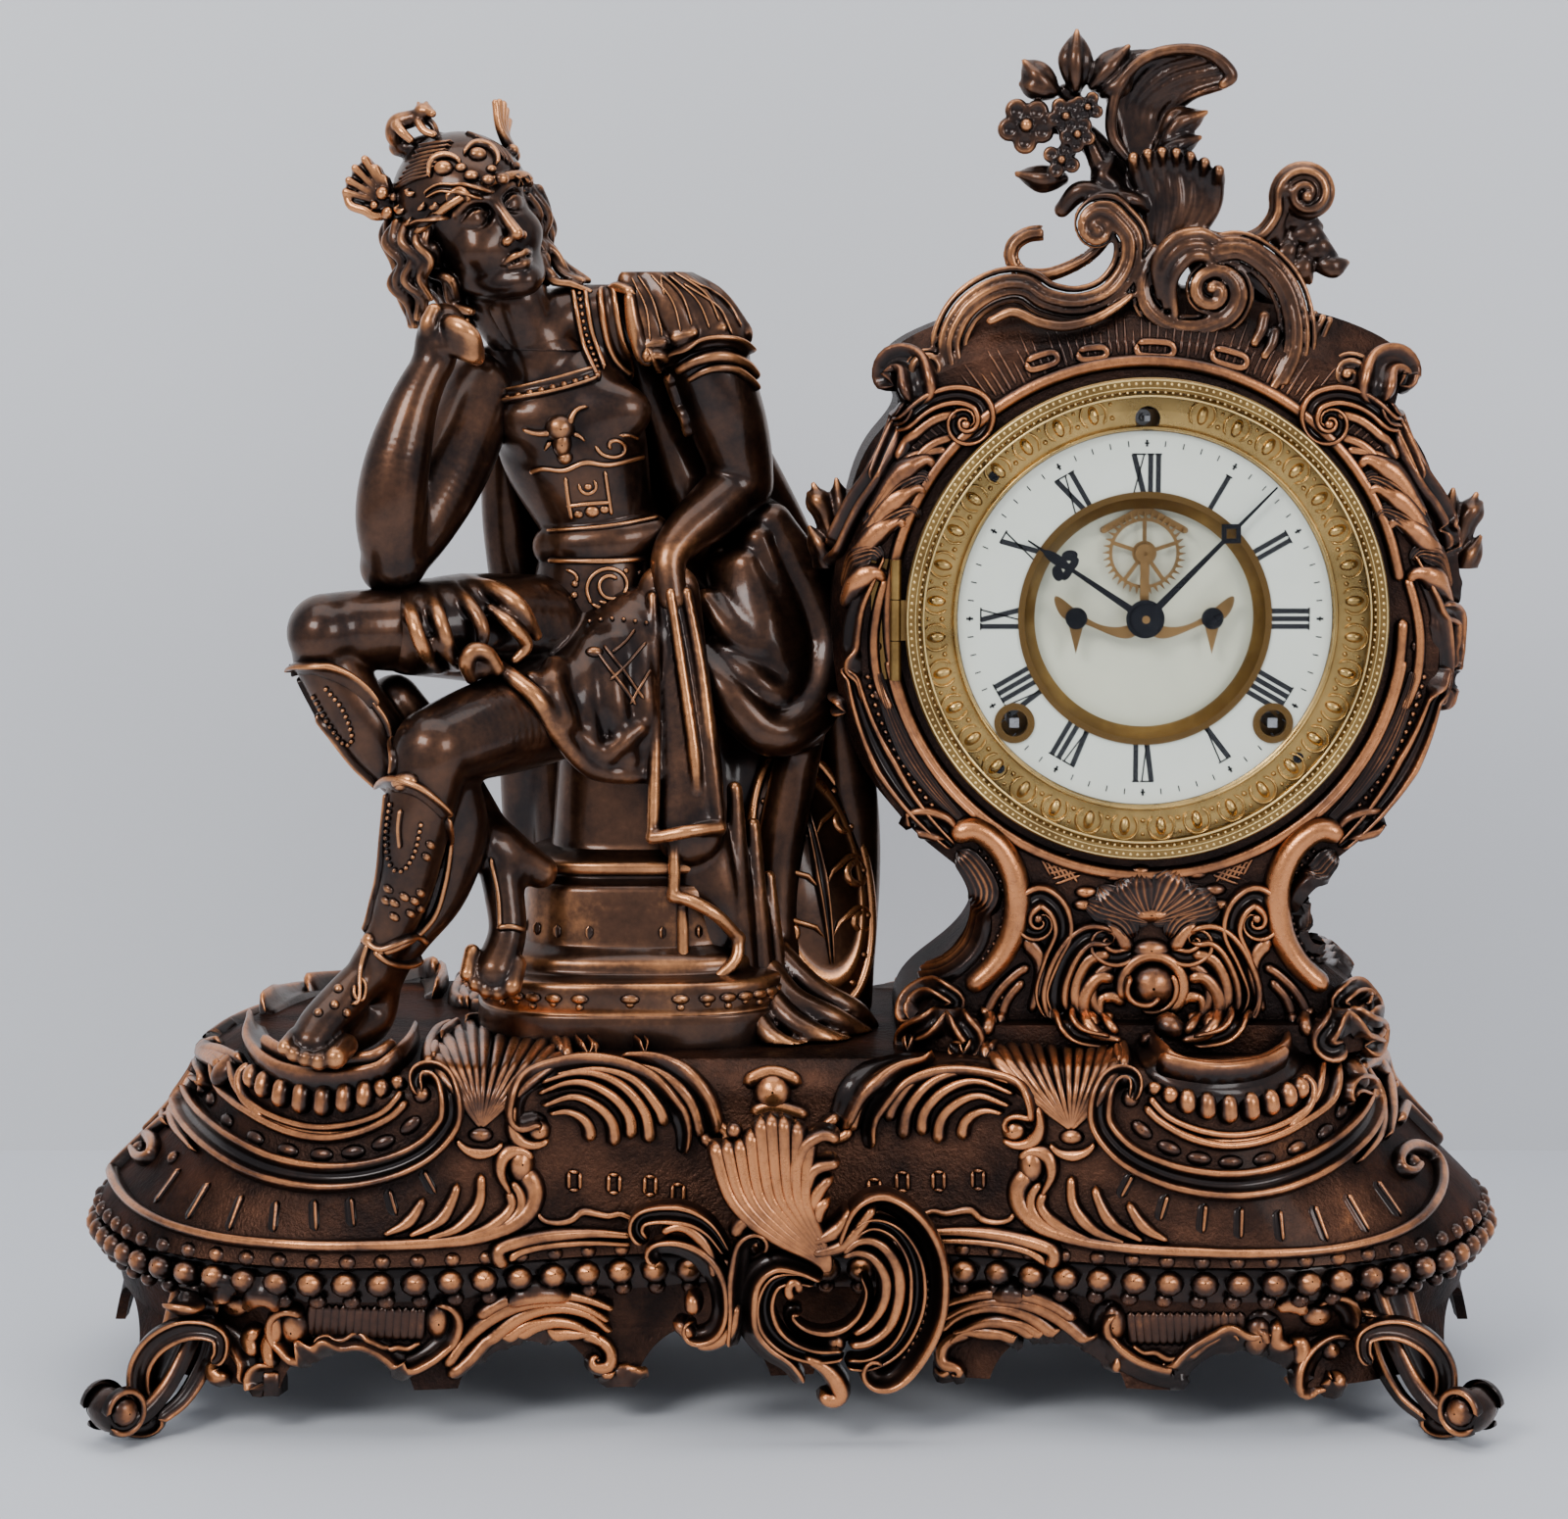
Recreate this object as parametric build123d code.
from build123d import *
import math
import os

# Figural mantel clock, in millimetres. It faces -Y, X runs to the viewer's right, Z is up from the
# surface it stands on, and the origin is under the middle of its base.

# Base
BASE_LENGTH = 556.0
BASE_DEPTH = 218.0
OVERALL_DEPTH = 236.0
APRON_BOTTOM = 19.0
BAND_BOTTOM = 55.0
BAND_TOP = 68.0
BASE_TOP = 138.0
BASE_WALL = 4.0
BAND_BULGE = 6.0
BAND_WIDTH = 15.0
APRON_INSET = 10.0
APRON_WAIST = 4.0
APRON_ARCH_RADIUS = 26.0
APRON_ARCH_PITCH = 66.0
APRON_ARCH_RISE = 6.0
END_ARCH_PITCH = 58.0
APRON_ARCH_COUNT = 6
END_ARCH_COUNT = 2
# Plan of one quarter, front middle to right end, as shares of half the length and half the depth
PLAN_SHARES = [(0, 0.80), (0.22, 0.82), (0.38, 0.92), (0.55, 1), (0.72, 0.96), (0.88, 0.73),
               (0.97, 0.34), (1, 0)]
# Tiers of the casting: share of the rise from band to top, share of the length, share of the depth
TIER_SHARES = [(0, 0.985, 0.985), (0.12, 0.965, 0.965), (0.46, 0.88, 0.91), (0.72, 0.83, 0.88),
               (0.88, 0.82, 0.87), (1, 0.77, 0.80)]

# Feet
FOOT_WIDTH = 20.0
FOOT_REACH = 42.0
FOOT_TIP_X = 254.0
FOOT_ANGLE = 45.0
FOOT_EYE_RADIUS = 9.0
FOOT_EYE_WIDTH = 24.0
# Side outline of a foot, as shares of its reach outward and of the height under the band
FOOT_SHARES = [(-0.55, 1), (0.22, 1), (0.45, 0.72), (0.66, 0.44), (0.95, 0.22), (1, 0.05),
               (0.86, 0), (0.34, 0), (0.30, 0.13), (0.50, 0.24), (0.36, 0.42), (0.05, 0.62),
               (-0.45, 0.66)]

# Cartouche on the middle of the base front
CARTOUCHE_X = 8.0
CARTOUCHE_Z = 62.0
CARTOUCHE_HEIGHT = 94.0
CARTOUCHE_STAND = 18.0
CARTOUCHE_SET_BACK = 8.6
CARTOUCHE_RAY_SHARE = 0.7
CARTOUCHE_STUD = 2.5
CARTOUCHE_STUD_SPACING = 44.0
# Ring scrolls of the cartouche: place, outer radius, inner radius, depth, all shares of its height
CARTOUCHE_RING_SHARES = [(0.14, -0.06, 0.42, 0.27, 1), (-0.38, -0.02, 0.20, 0.10, 0.8),
                         (-0.02, -0.20, 0.20, 0.08, 0.9)]
# Rays of its shell: foot, tip and half width, shares of its height
CARTOUCHE_RAY_SHARES = [(0.02, -0.05, -0.34, 0.34, 0.06), (0.02, -0.05, -0.18, 0.45, 0.07),
                        (0.04, -0.05, 0.02, 0.48, 0.07), (0.06, 0, 0.20, 0.40, 0.06),
                        (0.02, -0.12, -0.48, 0.16, 0.06), (0.10, -0.10, 0.12, -0.46, 0.07)]

# Clock case, with its dial axis along Y
CLOCK_X = 132.0
CLOCK_Z = 301.3
CASE_HALF_WIDTH = 117.0
CASE_FRONT = -50.0
CASE_BACK = 45.0
CASE_EDGE = 12.0
CASE_EDGE_SCALE = 0.94
CASE_BORE = 97.0
FRONT_WALL = 5.0
DIAL_LEDGE = 3.0
LEDGE_BORE = 78.0
DIAL_OPENING = 86.0
BACK_WALL = 4.0
DOOR_OPENING = 72.0
CASE_FOOT_HEIGHT = 11.0
CASE_FOOT_LENGTH = 180.0
CASE_FOOT_DEPTH = 118.0
CASE_FOOT_CORNER = 24.0
# Right side of the case from its foot to its crown, as shares of the half width
CASE_SHARES = [(0.74, -1.25), (0.60, -1.13), (0.52, -1.02), (0.53, -0.88), (0.66, -0.74),
               (0.80, -0.62), (0.93, -0.42), (0.99, -0.17), (1, 0.05), (0.95, 0.36), (0.86, 0.58),
               (0.79, 0.70), (0.83, 0.80), (0.70, 0.92), (0.45, 0.99), (0, 1.03)]
CASE_FOOT_SHARE = 0.78

# Crest, leaves: places and radii as shares of the half width of the case
CREST_BACK = -14.0
CREST_DEPTH = 30.0
LEAF_BACK = 2.0
LEAF_DEPTH = 26.0
CREST_ARCH_SHARES = (0.96, 1.08)
CREST_ARCH_START = 42.0
CREST_ARCH_SWEEP = 100.0
CREST_OUTLINE_SHARES = {
    "shell": [(0.02, 0.92), (-0.08, 1.20), (-0.12, 1.38), (0.02, 1.50), (0.22, 1.44), (0.24, 1.24),
              (0.18, 0.98)],
    "plume": [(-0.12, 1.28), (-0.13, 1.48), (-0.09, 1.62), (0.05, 1.73), (0.26, 1.77), (0.31, 1.70),
              (0.20, 1.60), (0.15, 1.46), (0.12, 1.28)],
    "left_scroll": [(-0.66, 0.76), (-0.78, 0.92), (-0.60, 1.02), (-0.38, 1.06), (-0.40, 1.20),
                    (-0.24, 1.34), (-0.08, 1.22), (-0.06, 0.92), (-0.40, 0.84)],
    "right_scroll": [(0.10, 0.88), (0.14, 1.20), (0.34, 1.28), (0.50, 1.16), (0.62, 0.98),
                     (0.74, 0.80), (0.62, 0.72)],
    "hanging_leaf": [(0.30, 1.22), (0.36, 1.40), (0.54, 1.36), (0.64, 1.22), (0.69, 1.08),
                     (0.60, 1.08), (0.50, 1.10), (0.42, 1.10)],
    "sprig": [(-0.20, 1.24), (-0.34, 1.36), (-0.45, 1.46), (-0.46, 1.62), (-0.36, 1.70),
              (-0.24, 1.68), (-0.16, 1.54), (-0.10, 1.38)]}
CREST_VOLUTE_SHARES = [(-0.19, 1.23, 0.11), (-0.54, 0.86, 0.12), (0.20, 1.06, 0.14),
                       (0.37, 1.33, 0.09), (0.67, 0.80, 0.13)]
CREST_FLOWER_SHARES = [(-0.41, 1.58, 0.10), (-0.27, 1.62, 0.11), (-0.30, 1.46, 0.09)]
CREST_TIP_SHARES = [(-0.25, 1.62, -0.22, 1.88, 0.07), (-0.41, 1.58, -0.42, 1.76, 0.06),
                    (-0.41, 1.55, -0.56, 1.56, 0.05)]
LEAF_OUTLINE_SHARES = {
    "left": [(-0.78, -0.52), (-0.94, -0.42), (-1.02, -0.16), (-1.04, 0.10), (-1.08, 0.26),
             (-1.09, 0.39), (-1.00, 0.34), (-0.92, 0.40), (-0.80, 0.44)],
    "right": [(0.78, -0.52), (0.95, -0.44), (1.03, -0.22), (1.07, -0.04), (1.12, 0.10),
              (1.13, 0.22), (1.04, 0.16), (0.96, 0.24), (0.80, 0.30)]}

# Dial
DIAL_RADIUS = 70.0
DIAL_INNER = 46.3
DIAL_THICKNESS = 2.6
PAN_SHEET = 1.2
PAN_FLOOR_DEPTH = 7.4
PAN_RADIUS = 85.0
SURROUND_RADIUS = 85.5
SURROUND_STEP = 1.6
SURROUND_RISE = 4.6
RING_INNER = 41.0
RING_LIP = 1.2
RING_SHEET = 0.8
RING_DROP = 5.0
DISC_RADIUS = 45.8
DISC_SHEET = 0.8
GROMMET_OUTER = 7.6
GROMMET_INNER = 5.0
GROMMET_TUBE = 5.8
DIAL_TAB_RADIUS = 4.7
REGULATOR_HEIGHT = 74.6
WINDING_X = 48.5
WINDING_Z = -39.3
SURROUND_SCREW_RADIUS = 2.0
SURROUND_SCREW_CIRCLE = 78.0
SURROUND_SCREW_ANGLES = (137.0, 318.0, 226.0)
SCREW_SINK = 0.8

# Bezel and its hinge
BEZEL_OUTER = 90.0
BEZEL_INNER = 84.0
BEZEL_REBATE = 86.2
BEZEL_GAP = 0.6
BEZEL_DEPTH = 8.6
BEZEL_LIP = 2.2
GLASS_SHEET = 2.2
GLASS_BEVEL = 1.4
HINGE_LENGTH = 45.0
HINGE_RADIUS = 2.2
HINGE_PIN_RADIUS = 1.1
HINGE_STAND = 3.4
HINGE_LEAF_SHEET = 1.0
HINGE_LEAF_WIDTH = 9.0
KNUCKLE_GAP = 0.4
PIN_FIT = 0.05

# Rear door
DOOR_RADIUS = 75.0
DOOR_SHEET = 1.6
DOOR_GAP = 0.3
DOOR_KNOB_RADIUS = 5.0
DOOR_KNOB_DEPTH = 6.0
DOOR_KNOB_INSET = 9.0
DOOR_HINGE_LENGTH = 30.0

# Hands
HAND_SHEET = 0.7
HOUR_HAND_LENGTH = 53.0
MINUTE_HAND_LENGTH = 69.0
HOUR_ANGLE = 303.7
MINUTE_ANGLE = 44.4
HOUR_HAND_STAND = 1.6
MINUTE_HAND_STAND = 3.4
HAND_BOSS = 7.2
MINUTE_BOSS = 5.6
WASHER_RADIUS = 4.3
WASHER_SHEET = 0.6
HAND_STEM = 1.5
HAND_TAPER = 0.7
HOUR_LEAF_SHARE = 0.64
HOUR_LEAF_WIDTH = 12.0
MINUTE_DIAMOND_SHARE = 0.65
MINUTE_DIAMOND = 3.6

# Movement plates, measured along Y from the back of the dial pan
PLATE_SHEET = 1.5
MOTION_GAP = 7.8
PLATE_GAP = 30.6
PLATE_HALF_WIDTH = 74.0
PLATE_BOTTOM = -61.0
PLATE_TOP = 62.0
PLATE_CORNER = 8.0
PLATE_TAB_WIDTH = 24.0
PLATE_TAB_TOP = 80.0
LUG_CIRCLE = 87.0
LUG_RADIUS = 6.0
LUG_PLACE_SHARE = 0.85
LUG_LENGTH_SHARE = 0.30
LUG_ANGLES = (38.0, 142.0, 218.0, 322.0)
PILLAR_RADIUS = 3.0
PILLAR_STUD = 1.5
NUT_RADIUS = 3.4
NUT_HEIGHT = 2.4
# Pillars, as shares of the plate's half width across and up from the dial's centre
PILLAR_SHARES = [(0, -0.757), (0.946, 0.270), (-0.946, 0.270), (0.459, 0.743), (-0.270, 0.743)]
ARBOR_RADIUS = 1.5
PIVOT_RADIUS = 0.9
CANNON_OUTER = 2.0
HOUR_PIPE_OUTER = 2.9
MINUTE_ARBOR_ANGLE = 225.0
WINDING_ARBOR_RADIUS = 2.5
WINDING_SQUARE = 3.6
WHEEL_SHEET = 1.2
# Teeth as shares of the pitch and of the module, rims and spokes as shares of the root radius
WHEEL_TOOTH_SHARES = (0.26, 0.20, 0.07)
PINION_TOOTH_SHARES = (0.17, 0.15, 0.06)
WHEEL_ROOT_SHARE, WHEEL_TIP_SHARE = -1.25, 0.90
PINION_ROOT_SHARE, PINION_TIP_SHARE = -1.25, 0.70
RIM_SHARE = 0.84
SPOKE_SHARE = 0.11
SPOKES = 4
PIVOT_SHARE = 0.3
PINION_LENGTH = 3.2
HUB_RADIUS = 4.0
RUN_GAP = 0.4

# Wheels: teeth and module of each meshing pair
GREAT_TEETH, SECOND_PINION, GREAT_MODULE = 72, 10, 0.8
SECOND_TEETH, CENTRE_PINION, SECOND_MODULE = 72, 12, 0.8
CENTRE_TEETH, FOURTH_PINION, CENTRE_MODULE = 84, 7, 0.5
FOURTH_TEETH, ESCAPE_PINION, FOURTH_MODULE = 72, 6, 0.45
STRIKE_SECOND_TEETH, THIRD_PINION, STRIKE_SECOND_MODULE = 60, 8, 0.7
THIRD_TEETH, FLY_PINION, THIRD_MODULE = 50, 7, 0.6
CANNON_TEETH, MINUTE_TEETH, CANNON_MODULE = 12, 36, 0.5
MINUTE_PINION, HOUR_TEETH = 10, 40
MESH_EASE = 0.1
# Depths of the wheels behind the back face of the front plate
SECOND_LEVEL = 3.0
CENTRE_LEVEL = 6.4
GREAT_LEVEL = 9.4
FOURTH_LEVEL = 14.6
THIRD_LEVEL = 20.6
SPRING_LEVEL = 13.2
SPRING_WIDTH = 14.0
SPRING_INNER = 4.4
SPRING_PITCH = 2.1
SPRING_STRIP = 0.6
SPRING_TURNS = 8
SPRING_STEPS = 24
SPRING_TAIL_SHARES = [(0.92, -0.45), (0.55, -0.86)]
GREAT_WIDTH = 1.8
STRIKE_SECOND_ANGLE = 100.0
STRIKE_THIRD_ANGLE = 70.0
FLY_ANGLE = 83.0
FLY_RADIUS = 9.0
FLY_LENGTH = 10.0
FLY_SHEET = 0.8

# Escapement, seen in the recessed centre of the dial
ESCAPE_HEIGHT = 24.2
ESCAPE_RADIUS = 15.5
ESCAPE_ROOT = 13.2
ESCAPE_RIM = 12.0
ESCAPE_TEETH = 36
ESCAPE_TOOTH_SHARES = (0.42, 0.04, 0.14)
ESCAPE_SPOKES = 5
ESCAPE_STAND = 3.0
ESCAPE_HUB = 4.6
ANCHOR_HEIGHT = 41.0
ANCHOR_STAND = 0.8
ANCHOR_SHEET = 0.9
ANCHOR_HUB = 3.0
ANCHOR_ARM = 2.6
PALLET_CIRCLE = 17.4
PALLET_ANGLE = 29.3
PALLET_RADIUS = 1.0
PALLET_LENGTH = 4.6
BRIDGE_STAND = 5.6
BRIDGE_SHEET = 1.2
BRIDGE_STEM = 3.4
BRIDGE_HUB = 5.2
BRIDGE_BORE = 3.6
BRIDGE_SPAN = 51.0
BRIDGE_ARM = 3.0
BRIDGE_FOOT = 3.4
BRIDGE_FINIAL = 8.0
BRIDGE_LEAF = 13.5
BRIDGE_TOP_SHARE = 0.7
BRIDGE_SAG_SHARE = 0.6
SCREW_HEAD = 4.1
SCREW_HEAD_HEIGHT = 1.6
SCREW_SHANK = 1.4
SCREW_SLOT = 0.9

# Pendulum, crutch, strike work behind the back plate
CRUTCH_STAND = 3.4
CRUTCH_SHEET = 1.2
CRUTCH_LENGTH = 26.0
CRUTCH_ARM = 3.0
CRUTCH_FORK = 7.0
PENDULUM_STAND = 8.6
PENDULUM_LENGTH = 112.0
ROD_RADIUS = 1.2
ROD_GAP = 0.3
BOB_RADIUS = 16.0
BOB_THICKNESS = 7.0
BOB_NUT = 3.0
SUSPENSION_HEIGHT = 58.0
SUSPENSION_RADIUS = 3.2
SUSPENSION_STRIP = 0.3
SUSPENSION_WIDTH = 3.4
HAMMER_X = -56.0
HAMMER_Z = 38.0
HAMMER_REACH = 46.0
HAMMER_HEAD = 4.0
HAMMER_HEAD_LENGTH = 12.0
HAMMER_ARM = 1.1
GONG_STAND = 24.0
GONG_WIRE = 1.2
GONG_OUTER = 44.0
GONG_PITCH = 6.0
GONG_HALF_TURNS = 7
GONG_BLOCK = 14.0
GONG_BLOCK_ANGLE = -75.0

# Bolts under the base
BOLT_RADIUS = 3.0
BOLT_SINK = 12.0
BOLT_NUT = 6.0
BOLT_NUT_HEIGHT = 5.0
BOLT_TAIL = 4.0
BOLT_CLEARANCE = 0.2
CASE_BOLT_SPACING = 120.0
FIGURE_BOLT_SPACING = 80.0

# Figure: height from the base, and places on it as shares of that height from its plinth's middle
FIGURE_HEIGHT = 354.0
FIGURE_X = -80.0
FIGURE_PLACE_SHARES = {
    "crown": (-0.145, -0.045, 0.945), "head": (-0.115, -0.055, 0.865), "chin": (-0.075, -0.085, 0.805),
    "throat": (-0.062, -0.030, 0.775), "neck": (-0.030, -0.008, 0.715),
    "right_shoulder": (-0.090, -0.028, 0.668), "right_elbow": (-0.205, -0.136, 0.512),
    "right_wrist": (-0.162, -0.127, 0.695), "right_hand": (-0.146, -0.119, 0.752),
    "left_shoulder": (0.116, -0.006, 0.740), "left_elbow": (0.196, 0.060, 0.632),
    "left_wrist": (0.110, -0.048, 0.505), "left_hand": (0.136, -0.034, 0.455),
    "right_hip": (-0.020, -0.042, 0.432), "right_knee": (-0.262, -0.175, 0.440),
    "right_calf": (-0.215, -0.155, 0.340), "right_ankle": (-0.092, -0.147, 0.145),
    "right_heel": (-0.082, -0.130, 0.090), "right_toe": (-0.098, -0.215, 0.082),
    "left_hip": (0.050, -0.050, 0.392), "left_knee": (-0.157, -0.226, 0.346),
    "left_calf": (-0.185, -0.212, 0.250), "left_ankle": (-0.203, -0.203, 0.085),
    "left_heel": (-0.200, -0.170, 0.030), "left_toe": (-0.285, -0.262, 0.022),
    "shield": (0.256, 0.014, 0.150), "right_wing": (-0.215, -0.030, 0.905),
    "left_wing": (-0.078, -0.010, 0.965)}
FIGURE_GIRTH_SHARES = {
    "neck": 0.042, "shoulder": 0.058, "right_shoulder": 0.045, "elbow": 0.032, "wrist": 0.021,
    "hand": 0.033, "hip": 0.075, "knee": 0.050, "calf": 0.047, "ankle": 0.025, "heel": 0.030,
    "toe": 0.020}
# Sections of the trunk, skirt and cloak: height, X, Y, half width, half depth, as shares
TORSO_SHARES = [(0.36, 0.028, -0.010, 0.118, 0.085), (0.43, 0.024, -0.006, 0.112, 0.082),
                (0.525, 0.016, 0.0, 0.092, 0.066), (0.62, 0.0, -0.008, 0.116, 0.076),
                (0.70, -0.004, -0.010, 0.118, 0.070), (0.755, -0.010, -0.010, 0.080, 0.048)]
SKIRT_SHARES = [(0.520, 0.016, -0.004, 0.098, 0.074), (0.430, 0.010, -0.060, 0.140, 0.120),
                (0.340, 0.030, -0.085, 0.135, 0.130), (0.275, 0.060, -0.095, 0.110, 0.110)]
CLOAK_SHARES = [(0.745, 0.080, 0.055, 0.120, 0.030), (0.60, 0.075, 0.085, 0.165, 0.050),
                (0.37, 0.110, 0.075, 0.150, 0.085), (0.17, 0.190, 0.010, 0.115, 0.120),
                (0.0, 0.205, 0.0, 0.115, 0.125)]
HEAD_SHARES = (0.070, 0.082, 0.100)
HELMET_SHARES = (0.083, 0.095, 0.098)
HEAD_LEAN = -22.0
THROAT_SHARE = 0.98
SHIELD_SHARES = (0.105, 0.155, 0.030)
SHIELD_TURN = 52.0
SHIELD_LEAN = 12.0
WING_SHARES = (0.055, 0.016, 0.034)
# Plinth the figure sits on: rise, half length and half depth as shares of the figure's height
PLINTH_SHARES = [(0.0, 0.205, 0.180), (0.062, 0.200, 0.175), (0.068, 0.150, 0.150),
                 (0.160, 0.128, 0.130), (0.178, 0.128, 0.130), (0.184, 0.145, 0.145),
                 (0.196, 0.145, 0.145), (0.202, 0.115, 0.115), (0.290, 0.108, 0.110)]
PLINTH_X_SHARE = 0.035
OVERRUN = 400.0


def round_trip(points):
    """Closed smooth wire through the points."""
    return Wire([Spline(*points, periodic=True)])


def solids_of(shape):
    """The solids of a result, as one compound or the one solid."""
    found = list(shape.solids())
    return found[0] if len(found) == 1 else Compound(found)


def largest_of(shape):
    """The main solid, without crumbs that a cut left."""
    return max(shape.solids(), key=lambda solid: solid.volume)


def box_between(low, high):
    size = [b - a for a, b in zip(low, high)]
    middle = [(a + b) / 2 for a, b in zip(low, high)]
    return Pos(*middle) * Box(*size)


def on_axis(radius, back, front, across=0, up=0, side=None):
    """Round bar along Y, from depth back to depth front, beside the dial's axis."""
    length = abs(front - back)
    middle = (front + back) / 2
    bar = Rot(90, 0, 0) * Cylinder(radius, length)
    return Pos(CLOCK_X + across, middle, CLOCK_Z + up) * bar


def ring_on_axis(outer, inner, back, front, across=0, up=0):
    reach = abs(front - back)
    return (on_axis(outer, back, front, across, up)
            - on_axis(inner, back - reach, front + reach, across, up))


def face_on_dial(sketch, back, front, across=0, up=0):
    """A flat outline in the dial's plane, made solid between two depths."""
    plane = Plane(origin=(CLOCK_X + across, back, CLOCK_Z + up), x_dir=(1, 0, 0), z_dir=(0, -1, 0))
    return extrude(plane * sketch, amount=back - front)


def turned(points):
    """Solid of revolution round the dial's axis, from (radius, depth) points."""
    outline = [(CLOCK_X + radius, depth, CLOCK_Z) for radius, depth in points]
    face = make_face(Polyline(*outline, close=True))
    return revolve(face, axis=Axis((CLOCK_X, 0, CLOCK_Z), (0, 1, 0)), revolution_arc=360)


def polar(radius, angle):
    return (radius * math.cos(math.radians(angle)), radius * math.sin(math.radians(angle)))


# Base tiers


def plan_wire(length, depth, height):
    quarter = [(x * length / 2, -y * depth / 2) for x, y in PLAN_SHARES]
    right = quarter + [(x, -y) for x, y in reversed(quarter[:-1])]
    left = [(-x, y) for x, y in reversed(right[1:-1])]
    return round_trip([(x, y, height) for x, y in right + left])


def stack(rings):
    """Straight-sided solid through plan outlines of (height, length, depth)."""
    return Solid.make_loft([plan_wire(length, depth, height) for height, length, depth in rings], True)


def inset_ring(height, inset):
    return (height, BASE_LENGTH - 2 * inset, BASE_DEPTH - 2 * inset)


def tier_rings(wall):
    rise = BASE_TOP - BAND_TOP
    return [(BAND_TOP + share * rise - wall, BASE_LENGTH * long - 2 * wall, BASE_DEPTH * deep - 2 * wall)
            for share, long, deep in TIER_SHARES]


def base_block():
    return stack(tier_rings(0))


def base_casting():
    shape = base_block() - stack(tier_rings(BASE_WALL))
    for x in bolt_places():
        shape -= Pos(x, 0, BASE_TOP) * Cylinder(BOLT_RADIUS + BOLT_CLEARANCE, 4 * BASE_WALL)
    return shape


def bead_moulding():
    middle = (BAND_BOTTOM + BAND_TOP) / 2
    outer = stack([inset_ring(BAND_BOTTOM, BAND_BULGE), inset_ring(middle, 0),
                   inset_ring(BAND_TOP, BAND_BULGE)])
    inner = stack([inset_ring(BAND_BOTTOM, BAND_WIDTH), inset_ring(BAND_TOP, BAND_WIDTH)])
    return outer - inner


def apron_block(wall):
    middle = (BAND_BOTTOM + APRON_BOTTOM) / 2
    return stack([inset_ring(APRON_BOTTOM, APRON_INSET + wall),
                  inset_ring(middle, APRON_INSET + APRON_WAIST + wall),
                  inset_ring(BAND_BOTTOM, APRON_INSET + wall)])


def apron_casting():
    ring = apron_block(0) - apron_block(BASE_WALL)
    level = APRON_BOTTOM - APRON_ARCH_RADIUS / 2 + APRON_ARCH_RISE
    for i in range(APRON_ARCH_COUNT):
        across = (i - (APRON_ARCH_COUNT - 1) / 2) * APRON_ARCH_PITCH
        ring -= Pos(across, 0, level) * Rot(90, 0, 0) * Cylinder(APRON_ARCH_RADIUS, OVERALL_DEPTH)
    for i in range(END_ARCH_COUNT):
        along = (i - (END_ARCH_COUNT - 1) / 2) * END_ARCH_PITCH
        ring -= Pos(0, along, level) * Rot(0, 90, 0) * Cylinder(APRON_ARCH_RADIUS, BASE_LENGTH)
    return ring


def foot(side, end):
    """One scrolled foot; side is -1 or 1 along X and end is -1 or 1 along Y."""
    outline = [(x * FOOT_REACH, z * BAND_BOTTOM) for x, z in FOOT_SHARES]
    body = extrude(Plane.XZ * make_face(Polyline(*outline, close=True)), amount=FOOT_WIDTH / 2, both=True)
    eye_x = FOOT_REACH - FOOT_EYE_RADIUS
    body += Pos(eye_x, 0, FOOT_EYE_RADIUS) * Rot(90, 0, 0) * Cylinder(FOOT_EYE_RADIUS, FOOT_EYE_WIDTH)
    lean = math.radians(FOOT_ANGLE)
    tip_y = OVERALL_DEPTH / 2 - FOOT_EYE_WIDTH / 2 * math.cos(lean)
    heel = Pos(FOOT_TIP_X - FOOT_REACH * math.cos(lean), tip_y - FOOT_REACH * math.sin(lean), 0)
    body = heel * Rot(0, 0, FOOT_ANGLE) * body
    if side < 0:
        body = mirror(body, about=Plane.YZ)
    if end < 0:
        body = mirror(body, about=Plane.XZ)
    return largest_of(body - apron_block(0))


def base_cartouche():
    """Pierced scroll and shell casting, on two studs that reach back to the bead moulding."""
    back = -BASE_DEPTH / 2 * PLAN_SHARES[2][1] + CARTOUCHE_SET_BACK
    size = CARTOUCHE_HEIGHT

    def cut_out(sketch, depth, x, z):
        middle = (CARTOUCHE_X + x * size, back, CARTOUCHE_Z + z * size)
        plane = Plane(origin=middle, x_dir=(1, 0, 0), z_dir=(0, -1, 0))
        return extrude(plane * sketch, amount=depth * CARTOUCHE_STAND)

    shape = None
    for x, z, outer, inner, depth in CARTOUCHE_RING_SHARES:
        ring = cut_out(Circle(outer * size) - Circle(inner * size), depth, x, z)
        shape = ring if shape is None else shape + ring
    for x0, z0, x1, z1, half in CARTOUCHE_RAY_SHARES:
        run = math.hypot(x1 - x0, z1 - z0) * size
        turn = math.degrees(math.atan2(z1 - z0, x1 - x0))
        ray = Rot(0, 0, turn) * SlotCenterToCenter(run, 2 * half * size)
        shape += cut_out(ray, CARTOUCHE_RAY_SHARE, (x0 + x1) / 2, (z0 + z1) / 2)
    level = (BAND_BOTTOM + BAND_TOP) / 2
    for x in (CARTOUCHE_X - CARTOUCHE_STUD_SPACING / 2, CARTOUCHE_X + CARTOUCHE_STUD_SPACING / 2):
        stud = Pos(x, back + BAND_BULGE, level) * Rot(90, 0, 0) * Cylinder(CARTOUCHE_STUD, 2 * BAND_BULGE)
        shape += largest_of(stud - bead_moulding())
    return largest_of(shape)


# Clock case


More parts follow.
